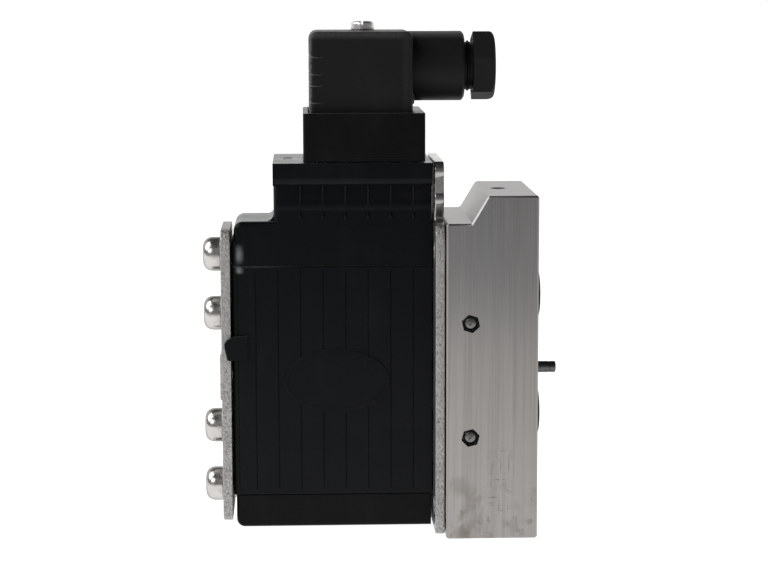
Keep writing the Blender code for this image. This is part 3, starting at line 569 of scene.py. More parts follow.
# ==== camera ====================================================================
YAW, PITCH, ROLL, FOCAL = 0.03842, 0.13898, 0.0022, 2145.6546
cy, sy, cp, sp = math.cos(YAW), math.sin(YAW), math.cos(PITCH), math.sin(PITCH)
forward = Vector((sy * cp, cy * cp, -sp))
right = Vector((cy, -sy, 0))
up = right.cross(forward)
side = right * math.cos(ROLL) - up * math.sin(ROLL)
top = right * math.sin(ROLL) + up * math.cos(ROLL)
cam_data = bpy.data.cameras.new("camera")
cam_data.sensor_width = 36.0
cam_data.lens = FOCAL * 36.0 / 768.0
cam_data.clip_start, cam_data.clip_end = 0.01, 60.0
camera = bpy.data.objects.new("camera", cam_data)
bpy.context.scene.collection.objects.link(camera)
camera.matrix_world = Matrix(((side.x, top.x, -forward.x, -0.0623192), (side.y, top.y, -forward.y, -0.5799843),
                              (side.z, top.z, -forward.z, 0.1471589 - ORIGIN_H * MM), (0, 0, 0, 1)))
bpy.context.scene.camera = camera

# ==== pilot block ===============================================================


def make_block():
    outline = [(-BLOCK_W, 0), (0, 0), (0, BLOCK_H), (RIDGE_X, BLOCK_H), (SHELF_X, SHELF_H), (-BLOCK_W, SHELF_H)]
    bm = prism(outline, "y", -BLOCK_D / 2, BLOCK_D / 2)
    bevel(bm, lambda p, q: True, 0.45, 1)
    for h in SOL_H:
        bm = cut(bm, lathe([(-BLOCK_W - 1, 0), (-BLOCK_W - 1, 4.35), (-14.0, 4.35), (-12.8, 0.9), (-8.2, 0.9), (-8.2, 0)],
                           "x", (0, h), 24))
    bm = cut(bm, lathe([(-BLOCK_W - 1, 0), (-BLOCK_W - 1, 4.85), (-14.0, 4.85), (-14.0, 1.9), (-0.5, 1.9), (0.5, 2.9), (0.5, 0)],
                       "x", (0, SENSOR_H), 32))
    for h in (63.3, 30.8):
        bm = cut(bm, lathe([(-8.9, 0), (-8.9, 1.9), (-1.9, 1.9), (-1.5, 2.3), (-1.5, 7.5), (-0.2, 7.5), (0.5, 8.2), (0.5, 0)],
                           "x", (0, h), 64))
    for h, turn in ((58.22, 0.3), (27.53, 0.8)):   # the mouth was pulled to six soft points when the sleeve was set
        bm = cut(bm, lathe([(-23, 0), (-23, 2.75), (-22.0, 2.22), (-21.82, 2.14), (-17.9, 2.12), (-17.2, 1.4), (-4.0, 1.4), (-4.0, 0)],
                           "y", (-17.93, h), 72, shape=lambda t, r, a, turn=turn: r + (0.26 * abs(math.cos(3 * (t + turn))) ** 6 if a < -20.5 else 0.0)))
    bm = cut(bm, lathe([(93.0, 0), (93.0, 3.2), (91.55, 1.75), (57.0, 1.6), (57.0, 0)], "z", (-8.94, 0), 40))
    for y in (-17.0, 17.0):
        for h in (8.0, 77.0):
            bm = cut(bm, lathe([(-BLOCK_W - 1, 0), (-BLOCK_W - 1, 2.75), (-0.4, 2.75), (0.6, 3.75), (0.6, 0)], "x", (y, h), 40))
    return piece("pilot_block_machined", bm, M_BLOCK, "module", ["pilot_block"])


# ==== yoke plates and screws ====================================================


def make_inner_plate():
    y, z0, z1 = 20.9, 1.0, 84.6
    half = arc(y - 1.2, z0 + 1.2, 1.2, -90, 0, 6)
    half += arc(y - 4.0, z1 - 4.0, 4.0, 0, 90, 12)
    half += arc(15.6, z1 + 1.2, 1.2, 270, 180, 8)
    half += arc(14.0, 90.7, 2.6, -38, 38, 10)
    half += arc(14.0, 98.1, 2.6, -38, 90, 16)
    outline = half + [(-u, v) for u, v in reversed(half)]
    bm = prism(outline, "x", INNER_X0, INNER_X1)
    bevel(bm, on_plane("x", INNER_X0), 0.45, 3)
    bevel(bm, on_plane("x", INNER_X1), 0.40, 2)
    for h in SOL_H:
        bm = cut(bm, rod("x", INNER_X0 - 1, INNER_X1 + 1, (0, h), 4.45, 32))
    bm = cut(bm, rod("x", INNER_X0 - 1, INNER_X1 + 1, (0, SENSOR_H), 5.0, 32))
    for y in (-17.0, 17.0):
        for h in (8.0, 77.0):
            bm = cut(bm, lathe([(INNER_X0 - 0.5, 0), (INNER_X0 - 0.5, 3.55), (INNER_X0 + 0.15, 2.9), (INNER_X1 + 1, 2.9), (INNER_X1 + 1, 0)],
                               "x", (y, h), 40))
    return piece("inner_yoke_plate_steel", bm, M_PLATE, "module", ["inner_yoke_plate"])


def make_outer_plate():
    y, z0, z1, r = 13.0, 3.4, 82.4, 3.6
    outline = (arc(y - 1.5, z0 + 1.5, 1.5, -90, 0, 6) + arc(y - r, z1 - r, r, 0, 90, 12)
               + arc(-y + r, z1 - r, r, 90, 180, 12) + arc(-y + 1.5, z0 + 1.5, 1.5, 180, 270, 6))
    bm = prism(outline, "x", OUTER_X0, OUTER_X1)
    bevel(bm, on_plane("x", OUTER_X0), 0.35, 3)
    bevel(bm, on_plane("x", OUTER_X1), 0.28, 2)
    pad = box(OUTER_X0 - 0.45, OUTER_X0 + 0.8, -y + 0.12, y - 0.12, 36.6, 48.8)
    bevel(pad, lambda p, q: p.x < OUTER_X0 and q.x < OUTER_X0, 0.4, 4)
    bm = join(bm, pad)
    for h in SOL_H:
        bm = cut(bm, rod("x", OUTER_X0 - 1, OUTER_X1 + 1, (0, h), 2.3, 32))
    bm = cut(bm, lathe([(OUTER_X0 - 1.2, 0), (OUTER_X0 - 1.2, 5.75), (OUTER_X0 - 0.1, 4.95), (OUTER_X1 + 1, 4.95), (OUTER_X1 + 1, 0)],
                       "x", (0, SENSOR_H), 56))
    return piece("outer_yoke_plate_steel", bm, M_PLATE, "module", ["outer_yoke_plate"])


def make_yoke_screw(i, h, turn):
    top_x, under, r = -89.2, -84.42, 4.65
    prof = [(top_x + 0.02, 0), (top_x, 1.7), (top_x + 0.04, 2.3), (top_x + 0.16, 2.9), (top_x + 0.40, 3.45), (top_x + 0.75, 3.90),
            (top_x + 1.2, 4.25), (top_x + 1.8, 4.50), (top_x + 2.4, 4.61), (top_x + 3.0, r), (under - 0.20, r), (under - 0.06, r - 0.06),
            (under, r - 0.20), (under, 2.1), (under + 0.3, 1.9)]
    x = under + 0.3
    while x < -77.4:                      # rolled thread
        prof += [(x + 0.12, 1.9), (x + 0.35, 1.62), (x + 0.58, 1.9)]
        x += 0.7
    prof += [(-77.1, 1.9), (-76.9, 1.5), (-76.9, 0)]
    bm = lathe(prof, "x", (0, h), 56)
    lobes = []
    for k in range(72):
        t = 2 * math.pi * k / 72
        rr = 1.93 + 0.32 * math.cos(6 * t)
        lobes.append((rr * math.cos(t + turn), h + rr * math.sin(t + turn)))
    recess = prism(lobes, "x", top_x - 1, top_x + 2.2)
    bm = cut(bm, recess, lathe([(top_x - 0.5, 0), (top_x - 0.5, 2.6), (top_x + 0.25, 1.85), (top_x + 0.25, 0)], "x", (0, h), 48))
    return piece(f"yoke_screw_{i}_pan_head", bm, M_SCREW, "module", [f"yoke_screw_{i}"])


# ==== housing ===================================================================


def make_housing():
    step = SHELL_X0 + 0.65
    bm = prism([(SHELL_X0, SHELL_H0), (SHELL_X1, SHELL_H0), (SHELL_X1, SHELL_H1), (step, SHELL_H1), (step, 79.9), (SHELL_X0, 79.2)],
               "y", -SHELL_Y, SHELL_Y)
    bevel(bm, along("y", ("x", (step,)), ("z", (SHELL_H1,))), 2.4, 8)
    bevel(bm, lambda p, q: abs(abs(p.y) - SHELL_Y) < 1e-3 and abs(abs(q.y) - SHELL_Y) < 1e-3 and p.y * q.y > 0
          and (min(p.x, q.x) < SHELL_X0 + 2.7 or min(p.z, q.z) > SHELL_H1 - 0.01)
          and not (abs(p.z - SHELL_H0) < 1e-3 and abs(q.z - SHELL_H0) < 1e-3), 2.2, 6)
    pad = box(SHELL_X0 + 1.6, SHELL_X1, -SHELL_Y - PAD_T, SHELL_Y + PAD_T, SHELL_H0 + 0.01, PAD_H1)
    bevel(pad, along("y", ("x", (SHELL_X0 + 1.6,)), ("z", (SHELL_H0 + 0.01,))), 2.2, 8)
    bevel(pad, along("y", ("x", (SHELL_X0 + 1.6,)), ("z", (PAD_H1,))), 0.6, 3)
    bevel(pad, lambda p, q: p.y * q.y > 0 and abs(abs(p.y) - SHELL_Y - PAD_T) < 1e-3 and abs(abs(q.y) - SHELL_Y - PAD_T) < 1e-3
          and not (p.x > SHELL_X1 - 0.01 and q.x > SHELL_X1 - 0.01), 0.42, 4)
    grooves = (RIB_X[0] - 12.06, RIB_X[0] - 6.03) + RIB_X
    for s in (-1, 1):
        for x in grooves:
            f = s * (SHELL_Y + PAD_T)
            pad = cut(pad, prism([(x - 0.16, f + s * 0.2), (x - 0.15, f), (x - 0.05, f - s * 0.12), (x + 0.05, f - s * 0.12), (x + 0.15, f), (x + 0.16, f + s * 0.2)],
                                 "z", SHELL_H0 + 1.6, PAD_H1 - 1.0))
    neck = box(NECK_X0, FLANGE_X1, -SHELL_Y + 0.02, SHELL_Y - 0.02, SHELL_H1 - 4, FLANGE_H0 + 2)
    bevel(neck, along("z", ("x", (NECK_X0,))), 1.5, 5)
    r = 2.0
    corner = [(NECK_X0 + 1.0, SHELL_H1 - 0.6), (NECK_X0 - r, SHELL_H1 - 0.6)] + arc(NECK_X0 - r, SHELL_H1 + r, r, -90, 0, 8) + [(NECK_X0 + 1.0, SHELL_H1 + r)]
    fillet = prism(corner, "y", -SHELL_Y + 1.8, SHELL_Y - 1.8)
    flange = box(FLANGE_X0, FLANGE_X1 + 0.02, -FLANGE_Y, FLANGE_Y, FLANGE_H0, FLANGE_H1)
    bevel(flange, along("x", ("z", (FLANGE_H0,))), 2.2, 7)
    bevel(flange, along("y", ("x", (FLANGE_X0,)), ("z", (FLANGE_H0,))), 1.9, 7)
    bevel(flange, along("z", ("x", (FLANGE_X0,))), 0.5, 4)
    bevel(flange, on_plane("z", FLANGE_H1), 0.22, 2)
    hook_pts = [(-80.9, 47.4), (-77.05, 47.4), (-77.05, 54.05), (-80.9, 53.8)]
    lug_pts = [(-82.5, 47.75), (-82.1, 47.35), (-77.0, 47.35), (-77.0, 54.1), (-81.4, 53.7), (-82.8, 52.7), (-83.25, 51.7), (-83.15, 50.4)]
    parts = [pad, neck, fillet, flange]
    for s in (-1, 1):
        hook = prism(hook_pts, "y", *sorted((s * 11.0, s * 13.6)))
        lug = prism(lug_pts, "y", *sorted((s * 13.2, s * 14.0)))
        for v in lug.verts:
            if v.co.x > -80.0:
                v.co.y = s * (12.7 if abs(v.co.y) > 13.5 else 11.5)
        bevel(lug, lambda p, q: abs(p.y) > 12.6 and abs(q.y) > 12.6 and p.x < -76 and not (abs(abs(p.y) - 13.2) < 1e-3 or abs(abs(q.y) - 13.2) < 1e-3), 0.32, 3)
        parts += [hook, lug]
    bm = join(bm, *parts)
    for s in (-1, 1):
        for x in RIB_X:
            rib = prism([(s * 11.0, 84.9), (s * 12.05, 86.0), (s * 12.14, 88.0), (s * 12.3, 90.6), (s * 13.1, FLANGE_H0 + 0.9), (s * 11.0, FLANGE_H0 + 0.9)],
                        "x", x - 0.30, x + 0.30)
            bevel(rib, lambda p, q: abs(p.y) > 12 and abs(q.y) > 12 and abs(p.x - q.x) < 1e-4, 0.16, 2)
            bm = join(bm, rib)
            blob = lathe([(85.0, 0), (85.2, 0.35), (85.9, 0.55), (86.8, 0.40), (87.3, 0)], "z", (x, s * 12.0), 14)
            bm = join(bm, blob)
        ledge = prism([(s * 11.0, 86.8), (s * 11.95, 87.2), (s * 12.10, 88.0), (s * 12.18, 89.0), (s * 12.10, 90.0), (s * 11.95, 90.8), (s * 11.0, 91.2)], "x", NECK_X0 + 0.8, FLANGE_X1 - 0.02)
        bm = join(bm, ledge)
    oval = [(OVAL_X + OVAL_A * math.cos(2 * math.pi * k / 96), OVAL_H + OVAL_B * math.sin(2 * math.pi * k / 96)) for k in range(96)]
    raised = prism(oval, "y", -SHELL_Y - PAD_T - OVAL_T, -SHELL_Y)
    bevel(raised, on_plane("y", -SHELL_Y - PAD_T - OVAL_T), 0.22, 3)
    bm = join(bm, raised)
    inset = [(OVAL_X + (OVAL_A - 0.9) * math.cos(2 * math.pi * k / 96), OVAL_H + (OVAL_B - 0.9) * math.sin(2 * math.pi * k / 96))
             for k in range(96)]
    bm = cut(bm, prism(inset, "y", -SHELL_Y - PAD_T - OVAL_T - 1, -SHELL_Y - PAD_T - OVAL_T + 0.16))
    # seam round the upper part, a shallow thumb recess in the flange and the hollow inside
    seam = PAD_H1 + 0.35
    bm = cut(bm, box(SHELL_X0 - 1, SHELL_X0 + 0.10, -SHELL_Y - 1, SHELL_Y + 1, seam - 0.12, seam + 0.12))
    thumb = lathe([(FLANGE_H1 - 0.28, 0), (FLANGE_H1 - 0.24, 1.5), (FLANGE_H1 + 0.4, 2.5), (FLANGE_H1 + 0.4, 0)], "z", (0, 0), 40)
    for v in thumb.verts:
        v.co.x = -66.0 + v.co.x * 0.75
        v.co.y = v.co.y * 2.6
    bm = cut(bm, thumb)
    bm = cut(bm, box(SHELL_X0 + WALL, SHELL_X1 - WALL, -SHELL_Y + WALL, SHELL_Y - WALL, SHELL_H0 - 1, SHELL_H1 - WALL),
             box(-57.0, -34.5, -10.6, 10.6, SHELL_H1 - WALL - 1, FLANGE_H1 + 1))
    for h in SOL_H:
        bm = cut(bm, rod("x", SHELL_X0 - 1, SHELL_X0 + WALL + 1, (0, h), 4.45, 24, 0.07),
                 rod("x", SHELL_X1 - WALL - 1, SHELL_X1 + 1, (0, h), 4.45, 24, 0.07))
    bm = cut(bm, rod("x", SHELL_X0 - 1, SHELL_X0 + WALL + 1, (0, SENSOR_H), 5.0, 24, 0.07),
             rod("x", SHELL_X1 - WALL - 1, SHELL_X1 + 1, (0, SENSOR_H), 5.0, 24, 0.07))
    return piece("housing_shell_moulded", bm, M_HOUSING, "module", ["housing_shell"])


def make_cap():
    x0, x1, y = -80.5, -27.8, 11.7
    bm = box(x0, x1, -y, y, CAP_H0, CAP_H1)
    bevel(bm, along("y", ("x", (x0,)), ("z", (CAP_H0,))), 2.2, 8)
    bevel(bm, lambda p, q: p.y * q.y > 0 and abs(abs(p.y) - y) < 1e-3 and abs(abs(q.y) - y) < 1e-3
          and not (abs(p.z - CAP_H1) < 1e-3 and abs(q.z - CAP_H1) < 1e-3) and not (p.x > x1 - 0.01 and q.x > x1 - 0.01), 1.1, 5)
    bm = join(bm, box(-78.9, -29.9, -9.7, 9.7, CAP_H1 - 1, 13.0))
    bm = cut(bm, box(-77.9, -30.9, -8.2, 8.2, 2.9, 14.0), rod("x", x0 - 1, x1 + 1, (0, SOL_H[3]), 4.45, 24))
    for x in (-70.0, -54.2, -38.4):       # shallow sink marks of the moulding's ejector pins under the foot
        bm = cut(bm, rod("z", CAP_H0 - 1, CAP_H0 + 0.15, (x, 0), 2.2, 28))
    return piece("bottom_cap_moulded", bm, M_CAP, "module", ["bottom_cap"])


# ==== socket and plug ===========================================================


def blades():
    return ((-9.0, 0.0, 1.0, 6.0), (9.0, 0.0, 1.0, 6.0), (0.0, -9.0, 6.0, 1.0), (0.0, 9.0, 6.0, 1.0))


def make_socket():
    bm = box(SOCKET_X0, SOCKET_X1, -SOCKET_Y, SOCKET_Y, SOCKET_H0, SOCKET_H1)
    bevel(bm, along("z"), 0.9, 5)
    bevel(bm, on_plane("z", SOCKET_H1), 0.18, 2)
    foot = box(SOCKET_X0 + 4.2, SOCKET_X1 - 4.2, -SOCKET_Y - 0.2, SOCKET_Y + 0.2, SOCKET_H0, SOCKET_H0 + 0.9)
    bevel(foot, lambda p, q: p.z > SOCKET_H0 + 0.5 and q.z > SOCKET_H0 + 0.5, 0.15, 2)
    bm = join(bm, foot)
    bm = cut(bm, box(PLUG_X0 - 0.35, PLUG_X1 + 0.35, -PLUG_Y - 0.32, PLUG_Y + 0.32, SOCKET_FLOOR, SOCKET_H1 + 1))
    bm = join(bm, lathe([(SOCKET_FLOOR - 0.5, 0), (SOCKET_FLOOR - 0.5, 3.4), (107.2, 3.4), (107.5, 3.1), (107.5, 0)], "z", (PLUG_C, 0), 40))
    bm = cut(bm, rod("z", SOCKET_H0 - 1, 108.0, (PLUG_C, 0), 1.85, 28))
    for dx, dy, wx, wy in blades():
        bm = cut(bm, box(PLUG_C + dx - wx / 2 - 0.3, PLUG_C + dx + wx / 2 + 0.3, dy - wy / 2 - 0.3, dy + wy / 2 + 0.3,
                         SOCKET_H0 - 1, SOCKET_FLOOR + 1))
    return piece("socket_collar_moulded", bm, M_SOCKET, "module", ["socket_collar"])


def make_plug():
    x0, x1, y = PLUG_X0, PLUG_X1, PLUG_Y
    outline = [(x0, PLUG_H0), (x1, PLUG_H0)] + arc(x1 - 1.7, PLUG_H1 - 1.7, 1.7, 0, 90, 8) + arc(x0 + 2.3, PLUG_H1 - 2.3, 2.3, 90, 180, 10)
    bm = prism(outline, "y", -y, y)
    for s in (-y, y):
        bevel(bm, lambda p, q, s=s: abs(p.y - s) < 1e-3 and abs(q.y - s) < 1e-3
              and not (abs(p.z - PLUG_H0) < 1e-3 and abs(q.z - PLUG_H0) < 1e-3), 1.5, 6)
    thread = []
    x = BARREL_X1 + 0.35
    while x < NECK_X1 - 0.9:
        thread += [(x, NECK_R - 0.42), (x + 0.30, NECK_R - 0.42), (x + 0.62, NECK_R), (x + 0.86, NECK_R), (x + 1.18, NECK_R - 0.42)]
        x += 1.5
    barrel = lathe([(x1 - 3, 0), (x1 - 3, BARREL_R), (BARREL_X1 - 0.85, BARREL_R), (BARREL_X1 - 0.55, BARREL_R - 0.12),
                    (BARREL_X1 - 0.12, BARREL_R - 0.6), (BARREL_X1, BARREL_R - 0.85), (BARREL_X1, NECK_R - 0.42)] + thread
                   + [(NECK_X1 - 0.4, NECK_R - 0.42), (NECK_X1, NECK_R - 0.8), (NECK_X1, 0)], "x", (0, CABLE_H), 80)
    bm = join(bm, barrel)
    # web that carries the barrel into the body below its middle
    web = box(x1 - 1.5, x1 + 0.75, -6.2, 6.2, CABLE_H - 10.1, CABLE_H)
    bevel(web, lambda p, q: p.x > x1 and q.x > x1, 0.7, 4)
    bm = join(bm, web)
    for h in GRIP_H:                       # grips wrap round both corners of the end
        notch = prism([(-y - 1, h - 0.50), (-y + 0.35, h - 0.08), (-y + 0.35, h + 0.08), (-y - 1, h + 0.50)], "x", x0 - 1, x0 + 3.0)
        bm = cut(bm, notch)
        notch = prism([(y + 1, h - 0.50), (y - 0.35, h - 0.08), (y - 0.35, h + 0.08), (y + 1, h + 0.50)], "x", x0 - 1, x0 + 3.0)
        bm = cut(bm, notch)
        bm = cut(bm, prism([(x0 - 1, h - 0.85), (x0 + 0.75, h - 0.16), (x0 + 0.75, h + 0.16), (x0 - 1, h + 0.85)], "y", -y - 1, y + 1))
    bm = cut(bm, box(x0 + 1.35, x1 - 1.35, -y + 1.35, y - 1.35, PLUG_H0 - 1, 131.5))
    bm = join(bm, rod("z", 118.6, 132.0, (PLUG_C, 0), 3.2, 28))
    bm = cut(bm, rod("z", 117.0, PLUG_H1 + 1, (PLUG_C, 0), 1.85, 28),
             lathe([(133.8, 0), (133.8, 3.5), (134.6, 3.5), (135.4, 4.3), (135.4, 0)], "z", (PLUG_C, 0), 48),
             lathe([(x1 - 3, 0), (x1 - 3, 4.2), (-24.3, 4.2), (-24.3, 5.2), (NECK_X1 + 1, 5.2), (NECK_X1 + 1, 0)], "x", (0, CABLE_H), 40))
    return piece("plug_hood_moulded", bm, M_PLUG, "plug", ["plug_hood"])


def make_nut():
    c = (0, CABLE_H)
    R = NUT_CORNER_R
    pts = [(R * math.sin(NUT_PHASE + math.radians(60 * k)), CABLE_H + R * math.cos(NUT_PHASE + math.radians(60 * k))) for k in range(6)]
    bm = prism(pts, "x", NUT_X0, NUT_X1)
    bevel(bm, lambda p, q: abs(p.x - q.x) > 3, 0.14, 3)
    dome = lathe([(NUT_X0 - 0.001, 0), (NUT_X0 - 0.001, 9.35), (NUT_X0 + 0.25, 9.7), (NUT_X1 - 1.7, 9.7), (NUT_X1 - 1.05, 9.35),
                  (NUT_X1 - 0.55, 8.9), (NUT_X1 - 0.22, 8.4), (NUT_X1 - 0.05, 7.9), (NUT_X1 + 0.001, 7.3), (NUT_X1 + 0.001, 0)], "x", c, 96)
    bm = boolean(bm, dome, "INTERSECT")
    bm = cut(bm, lathe([(NUT_X0 - 1, 0), (NUT_X0 - 1, 7.9), (NUT_X0 + 0.5, 7.15), (-11.4, 7.15), (-11.4, 4.6), (NUT_X1 - 0.45, 4.6),
                        (NUT_X1 - 0.15, 4.75), (NUT_X1 + 0.1, 5.2), (NUT_X1 + 0.5, 5.4), (NUT_X1 + 0.5, 0)], "x", c, 64))
    return piece("gland_nut_hex", bm, M_NUT, "gland_nut", ["gland_nut"])


def make_gland_inside():
    c = (0, CABLE_H)
    bm = lathe([(-24.0, 3.7), (-24.0, 4.7), (-23.6, 4.9), (-16.5, 4.9), (-16.1, 4.6), (-16.1, 3.9), (-16.6, 3.5), (-17.2, 3.5), (-17.6, 3.35),
                (-18.4, 3.35), (-18.8, 3.5), (-19.4, 3.5), (-19.8, 3.35), (-23.4, 3.35)], "x", c, 48, ring=True)
    piece("cable_grommet_ribbed", bm, M_RUBBER, "plug", ["cable_grommet"])
    bm = lathe([(-13.6, 4.1), (-13.6, 4.75), (-13.45, 4.9), (-11.85, 4.9), (-11.7, 4.75), (-11.7, 4.1), (-11.9, 3.9), (-13.4, 3.9)],
               "x", c, 48, ring=True)
    piece("gland_washer_turned", bm, M_INNER, "gland_washer", ["gland_washer"])


def make_centre_screw():
    prof = [(106.0, 0), (106.0, 1.2)]
    z = 106.2
    while z < 112.0:
        prof += [(z, 1.28), (z + 0.22, 1.5), (z + 0.28, 1.5), (z + 0.46, 1.28)]
        z += 0.5
    prof += [(112.4, 1.45), (134.9, 1.45), (134.98, 1.6), (134.98, 2.9), (135.1, 3.1), (135.3, 3.15), (136.55, 3.15), (136.95, 3.02),
             (137.2, 2.75), (137.33, 2.3), (137.38, 1.5), (137.4, 0)]
    bm = lathe(prof, "z", (PLUG_C, 0), 48)
    slot = math.radians(84)
    cs, sn = math.cos(slot), math.sin(slot)

    def bar(length, width, depth):
        pts = [(-length, -width), (length, -width), (length, width), (-length, width)]
        return prism([(PLUG_C + u * cs - v * sn, u * sn + v * cs) for u, v in pts], "z", 137.4 - depth, 139.0)
    bm = cut(bm, bar(4.0, 0.42, 1.05), bar(0.45, 2.2, 1.3))
    piece("centre_screw_slotted", bm, M_TOPSCREW, "centre_screw", ["centre_screw"])
    bm = lathe([(134.1, 2.0), (134.1, 2.95), (134.25, 3.1), (134.55, 3.1), (134.7, 2.95), (134.7, 2.0), (134.55, 1.85), (134.25, 1.85)],
               "z", (PLUG_C, 0), 40, ring=True)
    piece("screw_washer_rubber", bm, M_RUBBER, "screw_washer", ["screw_washer"])


# ==== small parts on the block ==================================================


def make_pin():
    prof = [(-50.0, 0), (-50.0, 2.0), (-49.8, 2.2), (-31.0, 2.2), (-30.4, PIN_R), (5.28, PIN_R), (5.36, PIN_R - 0.13), (5.46, PIN_R - 0.13),
            (5.54, PIN_R), (6.80, PIN_R), (6.97, PIN_R - 0.07), (7.10, PIN_R - 0.22), (7.15, PIN_R - 0.42), (7.15, 0.35), (7.05, 0.0)]
    return piece("transducer_pin_ground", lathe(prof, "x", (0, SENSOR_H), 48), M_PIN, "transducer_pin", ["transducer_pin"])


def make_seal(name, h):
    prof = [(-1.2, 4.8), (-1.2, 6.95), (-1.0, 7.15), (1.1, 7.15), (1.45, 7.05), (1.8, 6.84), (2.08, 6.5), (2.22, 6.1), (2.25, 5.7), (2.14, 5.3),
            (1.9, 4.95), (1.5, 4.7), (1.1, 4.6), (-1.0, 4.6)]
    return piece(f"port_seal_{name}_moulded", lathe(prof, "x", (0, h), 72, ring=True), M_RUBBER, "module", [f"port_seal_{name}"])


def make_expander(name, h, turn):
    def staked(t, r, a):
        return r + (0.16 * abs(math.cos(3 * (t + turn))) ** 6 if a < -20.9 and r > 1.9 else 0.0)
    prof = [(-18.3, 0), (-18.3, 1.85), (-18.5, 2.02), (-21.2, 2.02), (-21.5, 1.98), (-21.66, 1.90), (-21.68, 1.84), (-21.5, 1.78),
            (-21.1, 1.70), (-20.2, 1.66), (-19.0, 1.66), (-19.0, 0)]
    piece(f"expander_sleeve_{name}_staked", lathe(prof, "y", (-17.93, h), 48, shape=staked), M_EXPANDER, "module",
          [f"expander_sleeve_{name}"])
    crown = [(-19.1, 0), (-19.1, 1.45), (-20.6, 1.62), (-20.98, 1.63), (-21.12, 1.56), (-21.22, 1.38), (-21.30, 1.10), (-21.35, 0.80),
             (-21.37, 0.52), (-21.33, 0.44), (-21.16, 0.22), (-21.10, 0)]
    piece(f"expander_ball_{name}_steel", lathe(crown, "y", (-17.93, h), 48, phase=turn, shape=lambda t, r, a: r * (1 - (0.22 * abs(math.sin(1.5 * t)) if 0.3 < r < 0.9 else 0.0))), M_BALL, "module", [f"expander_ball_{name}"])


def make_spring(name, h, x0, x1, r, wire, turns):
    """A wound spring with a closed turn at each end."""
    steps, sides = 28, 10
    n = int((turns + 2) * steps)

    def run(t):
        # share of the length used up after t turns: the end turns lie flat, the others climb evenly
        flat = 2 * wire / (x1 - x0 - 2 * wire)
        if t < 1:
            return flat * t * t
        if t > turns + 1:
            return 1 - flat * (turns + 2 - t) ** 2
        return flat + (1 - 2 * flat) * (t - 1) / turns
    centres = []
    for k in range(n + 1):
        t = (turns + 2) * k / n
        a = 2 * math.pi * t
        centres.append(Vector((x0 + wire + (x1 - x0 - 2 * wire) * run(t), r * math.cos(a), h + r * math.sin(a))))
    bm = bmesh.new()
    rings = []
    for k, c in enumerate(centres):
        tangent = (centres[min(k + 1, n)] - centres[max(k - 1, 0)]).normalized()
        out = Vector((0, c.y, c.z - h)).normalized()
        across = tangent.cross(out).normalized()
        rings.append([bm.verts.new(c + out * wire * math.cos(2 * math.pi * q / sides) + across * wire * math.sin(2 * math.pi * q / sides))
                      for q in range(sides)])
    for one, two in zip(rings, rings[1:]):
        for q in range(sides):
            m = (q + 1) % sides
            bm.faces.new((one[q], one[m], two[m], two[q]))
    bm.faces.new(rings[0])
    bm.faces.new(rings[-1])
    ob = piece(f"{name}_wound", bm, M_SPRING, "module", [name], angle=60)
    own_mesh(ob)
    return ob


make_block()
make_inner_plate()
make_outer_plate()
for i, h in enumerate(SOL_H, 1):
    make_yoke_screw(i, h, (0.35, 1.1, 0.8, 0.15)[i - 1])
make_housing()
make_cap()
make_socket()
make_plug()
make_nut()
make_gland_inside()
make_centre_screw()
make_pin()
make_seal("upper", 63.3)
make_seal("lower", 30.8)
make_expander("upper", 58.22, 0.3)
make_expander("lower", 27.53, 0.8)
for i, h in enumerate(SOL_H, 1):
    make_spring(f"return_spring_{i}", h, -51.7, -43.1, 1.35, 0.24, 3.5)
make_spring("transducer_spring", SENSOR_H, -69.7, -50.3, 1.75, 0.3, 6)

# ==== materials on the CAD nodes that stay ======================================
STAY = {"pilot_coil": M_WINDING, "transducer_coil": M_WINDING, "core_tube": M_INSIDE, "armature": M_INSIDE,
        "transducer_tube": M_INSIDE, "transducer_seal": M_RUBBER, "circuit_board": M_BOARD,
        "contact_blade": M_BRASS, "earth_blade": M_BRASS, "terminal_insert": M_INNER, "terminal_": M_BRASS, "earth_terminal": M_BRASS,
        "plug_gasket": M_RUBBER, "gallery_plug": M_INSIDE}
for name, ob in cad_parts.items():
    for start, mat in STAY.items():
        if name.startswith(start):
            for s in ob.material_slots:
                s.material = mat
            break

# ==== room ======================================================================


def floor_material():
    """White floor that lights the object from below. It darkens far out in front, as a studio floor does past the lamps."""
    m = Mat("floor_white", (0.45, 0.45, 0.45), 0.9, 0.0, 0.0)
    y = m.position("Y")
    glow = m.ramp(y, -620.0, -70.0, 0.17, 1.0)
    m.link(glow, m.b.inputs["Emission Strength"])
    m.b.inputs["Emission Color"].default_value = (1, 1, 1, 1)
    return m.m


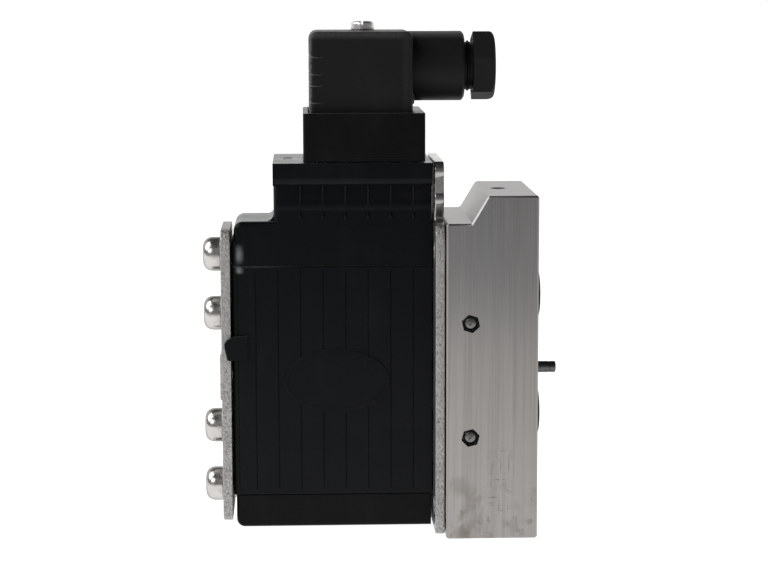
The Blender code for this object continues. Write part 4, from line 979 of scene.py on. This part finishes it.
FOOT = -ORIGIN_H * MM
floor_mesh = bpy.data.meshes.new("floor")
floor_mesh.from_pydata([(-40, -40, FOOT), (40, -40, FOOT), (40, 40, FOOT), (-40, 40, FOOT)], [], [(0, 1, 2, 3)])
floor_mesh.materials.append(floor_material())
floor = bpy.data.objects.new("floor", floor_mesh)
bpy.context.scene.collection.objects.link(floor)


def softbox(name, at, target, width, height, watts, colour=(1, 1, 1)):
    data = bpy.data.lights.new(name, "AREA")
    data.shape = "RECTANGLE"
    data.size, data.size_y = width, height
    data.energy = watts
    data.color = colour
    ob = bpy.data.objects.new(name, data)
    ob.location = at
    ob.rotation_euler = (Vector(target) - Vector(at)).to_track_quat("-Z", "Y").to_euler()
    bpy.context.scene.collection.objects.link(ob)
    return ob


softbox("front_left", (-0.50, -0.62, 0.42), (-0.06, 0.0, 0.02), 0.42, 0.36, 1.5)
softbox("key_left", (-0.74, -0.06, 0.66), (-0.05, 0.0, 0.02), 0.62, 0.76, 6.6)
world = bpy.data.worlds.new("studio")
world.use_nodes = True
nodes, links = world.node_tree.nodes, world.node_tree.links
background = nodes["Background"]
background.inputs["Color"].default_value = (1.0, 1.0, 1.0, 1)
split = nodes.new("ShaderNodeSeparateXYZ")
links.new(nodes.new("ShaderNodeTexCoord").outputs["Generated"], split.inputs[0])


def spread(socket, low, high, at_low, at_high):
    n = nodes.new("ShaderNodeMapRange")
    n.interpolation_type = "SMOOTHSTEP"
    for k, v in (("From Min", low), ("From Max", high), ("To Min", at_low), ("To Max", at_high)):
        n.inputs[k].default_value = v
    links.new(socket, n.inputs["Value"])
    return n.outputs["Result"]


# a dim studio in front and overhead, a white wall low down behind the object
glow = nodes.new("ShaderNodeMath")
glow.operation = "MULTIPLY"
links.new(spread(split.outputs["Y"], 0.25, 0.75, 0.0, 0.95), glow.inputs[0])
links.new(spread(split.outputs["Z"], 0.75, 0.45, 0.0, 1.0), glow.inputs[1])
total = nodes.new("ShaderNodeMath")
total.operation = "ADD"
links.new(glow.outputs[0], total.inputs[0])
links.new(spread(split.outputs["Z"], 0.75, 0.30, 0.06, 0.21), total.inputs[1])
links.new(total.outputs[0], background.inputs["Strength"])
bpy.context.scene.world = world
bpy.context.scene.view_settings.view_transform = "Standard"
bpy.context.scene.view_settings.look = "None"
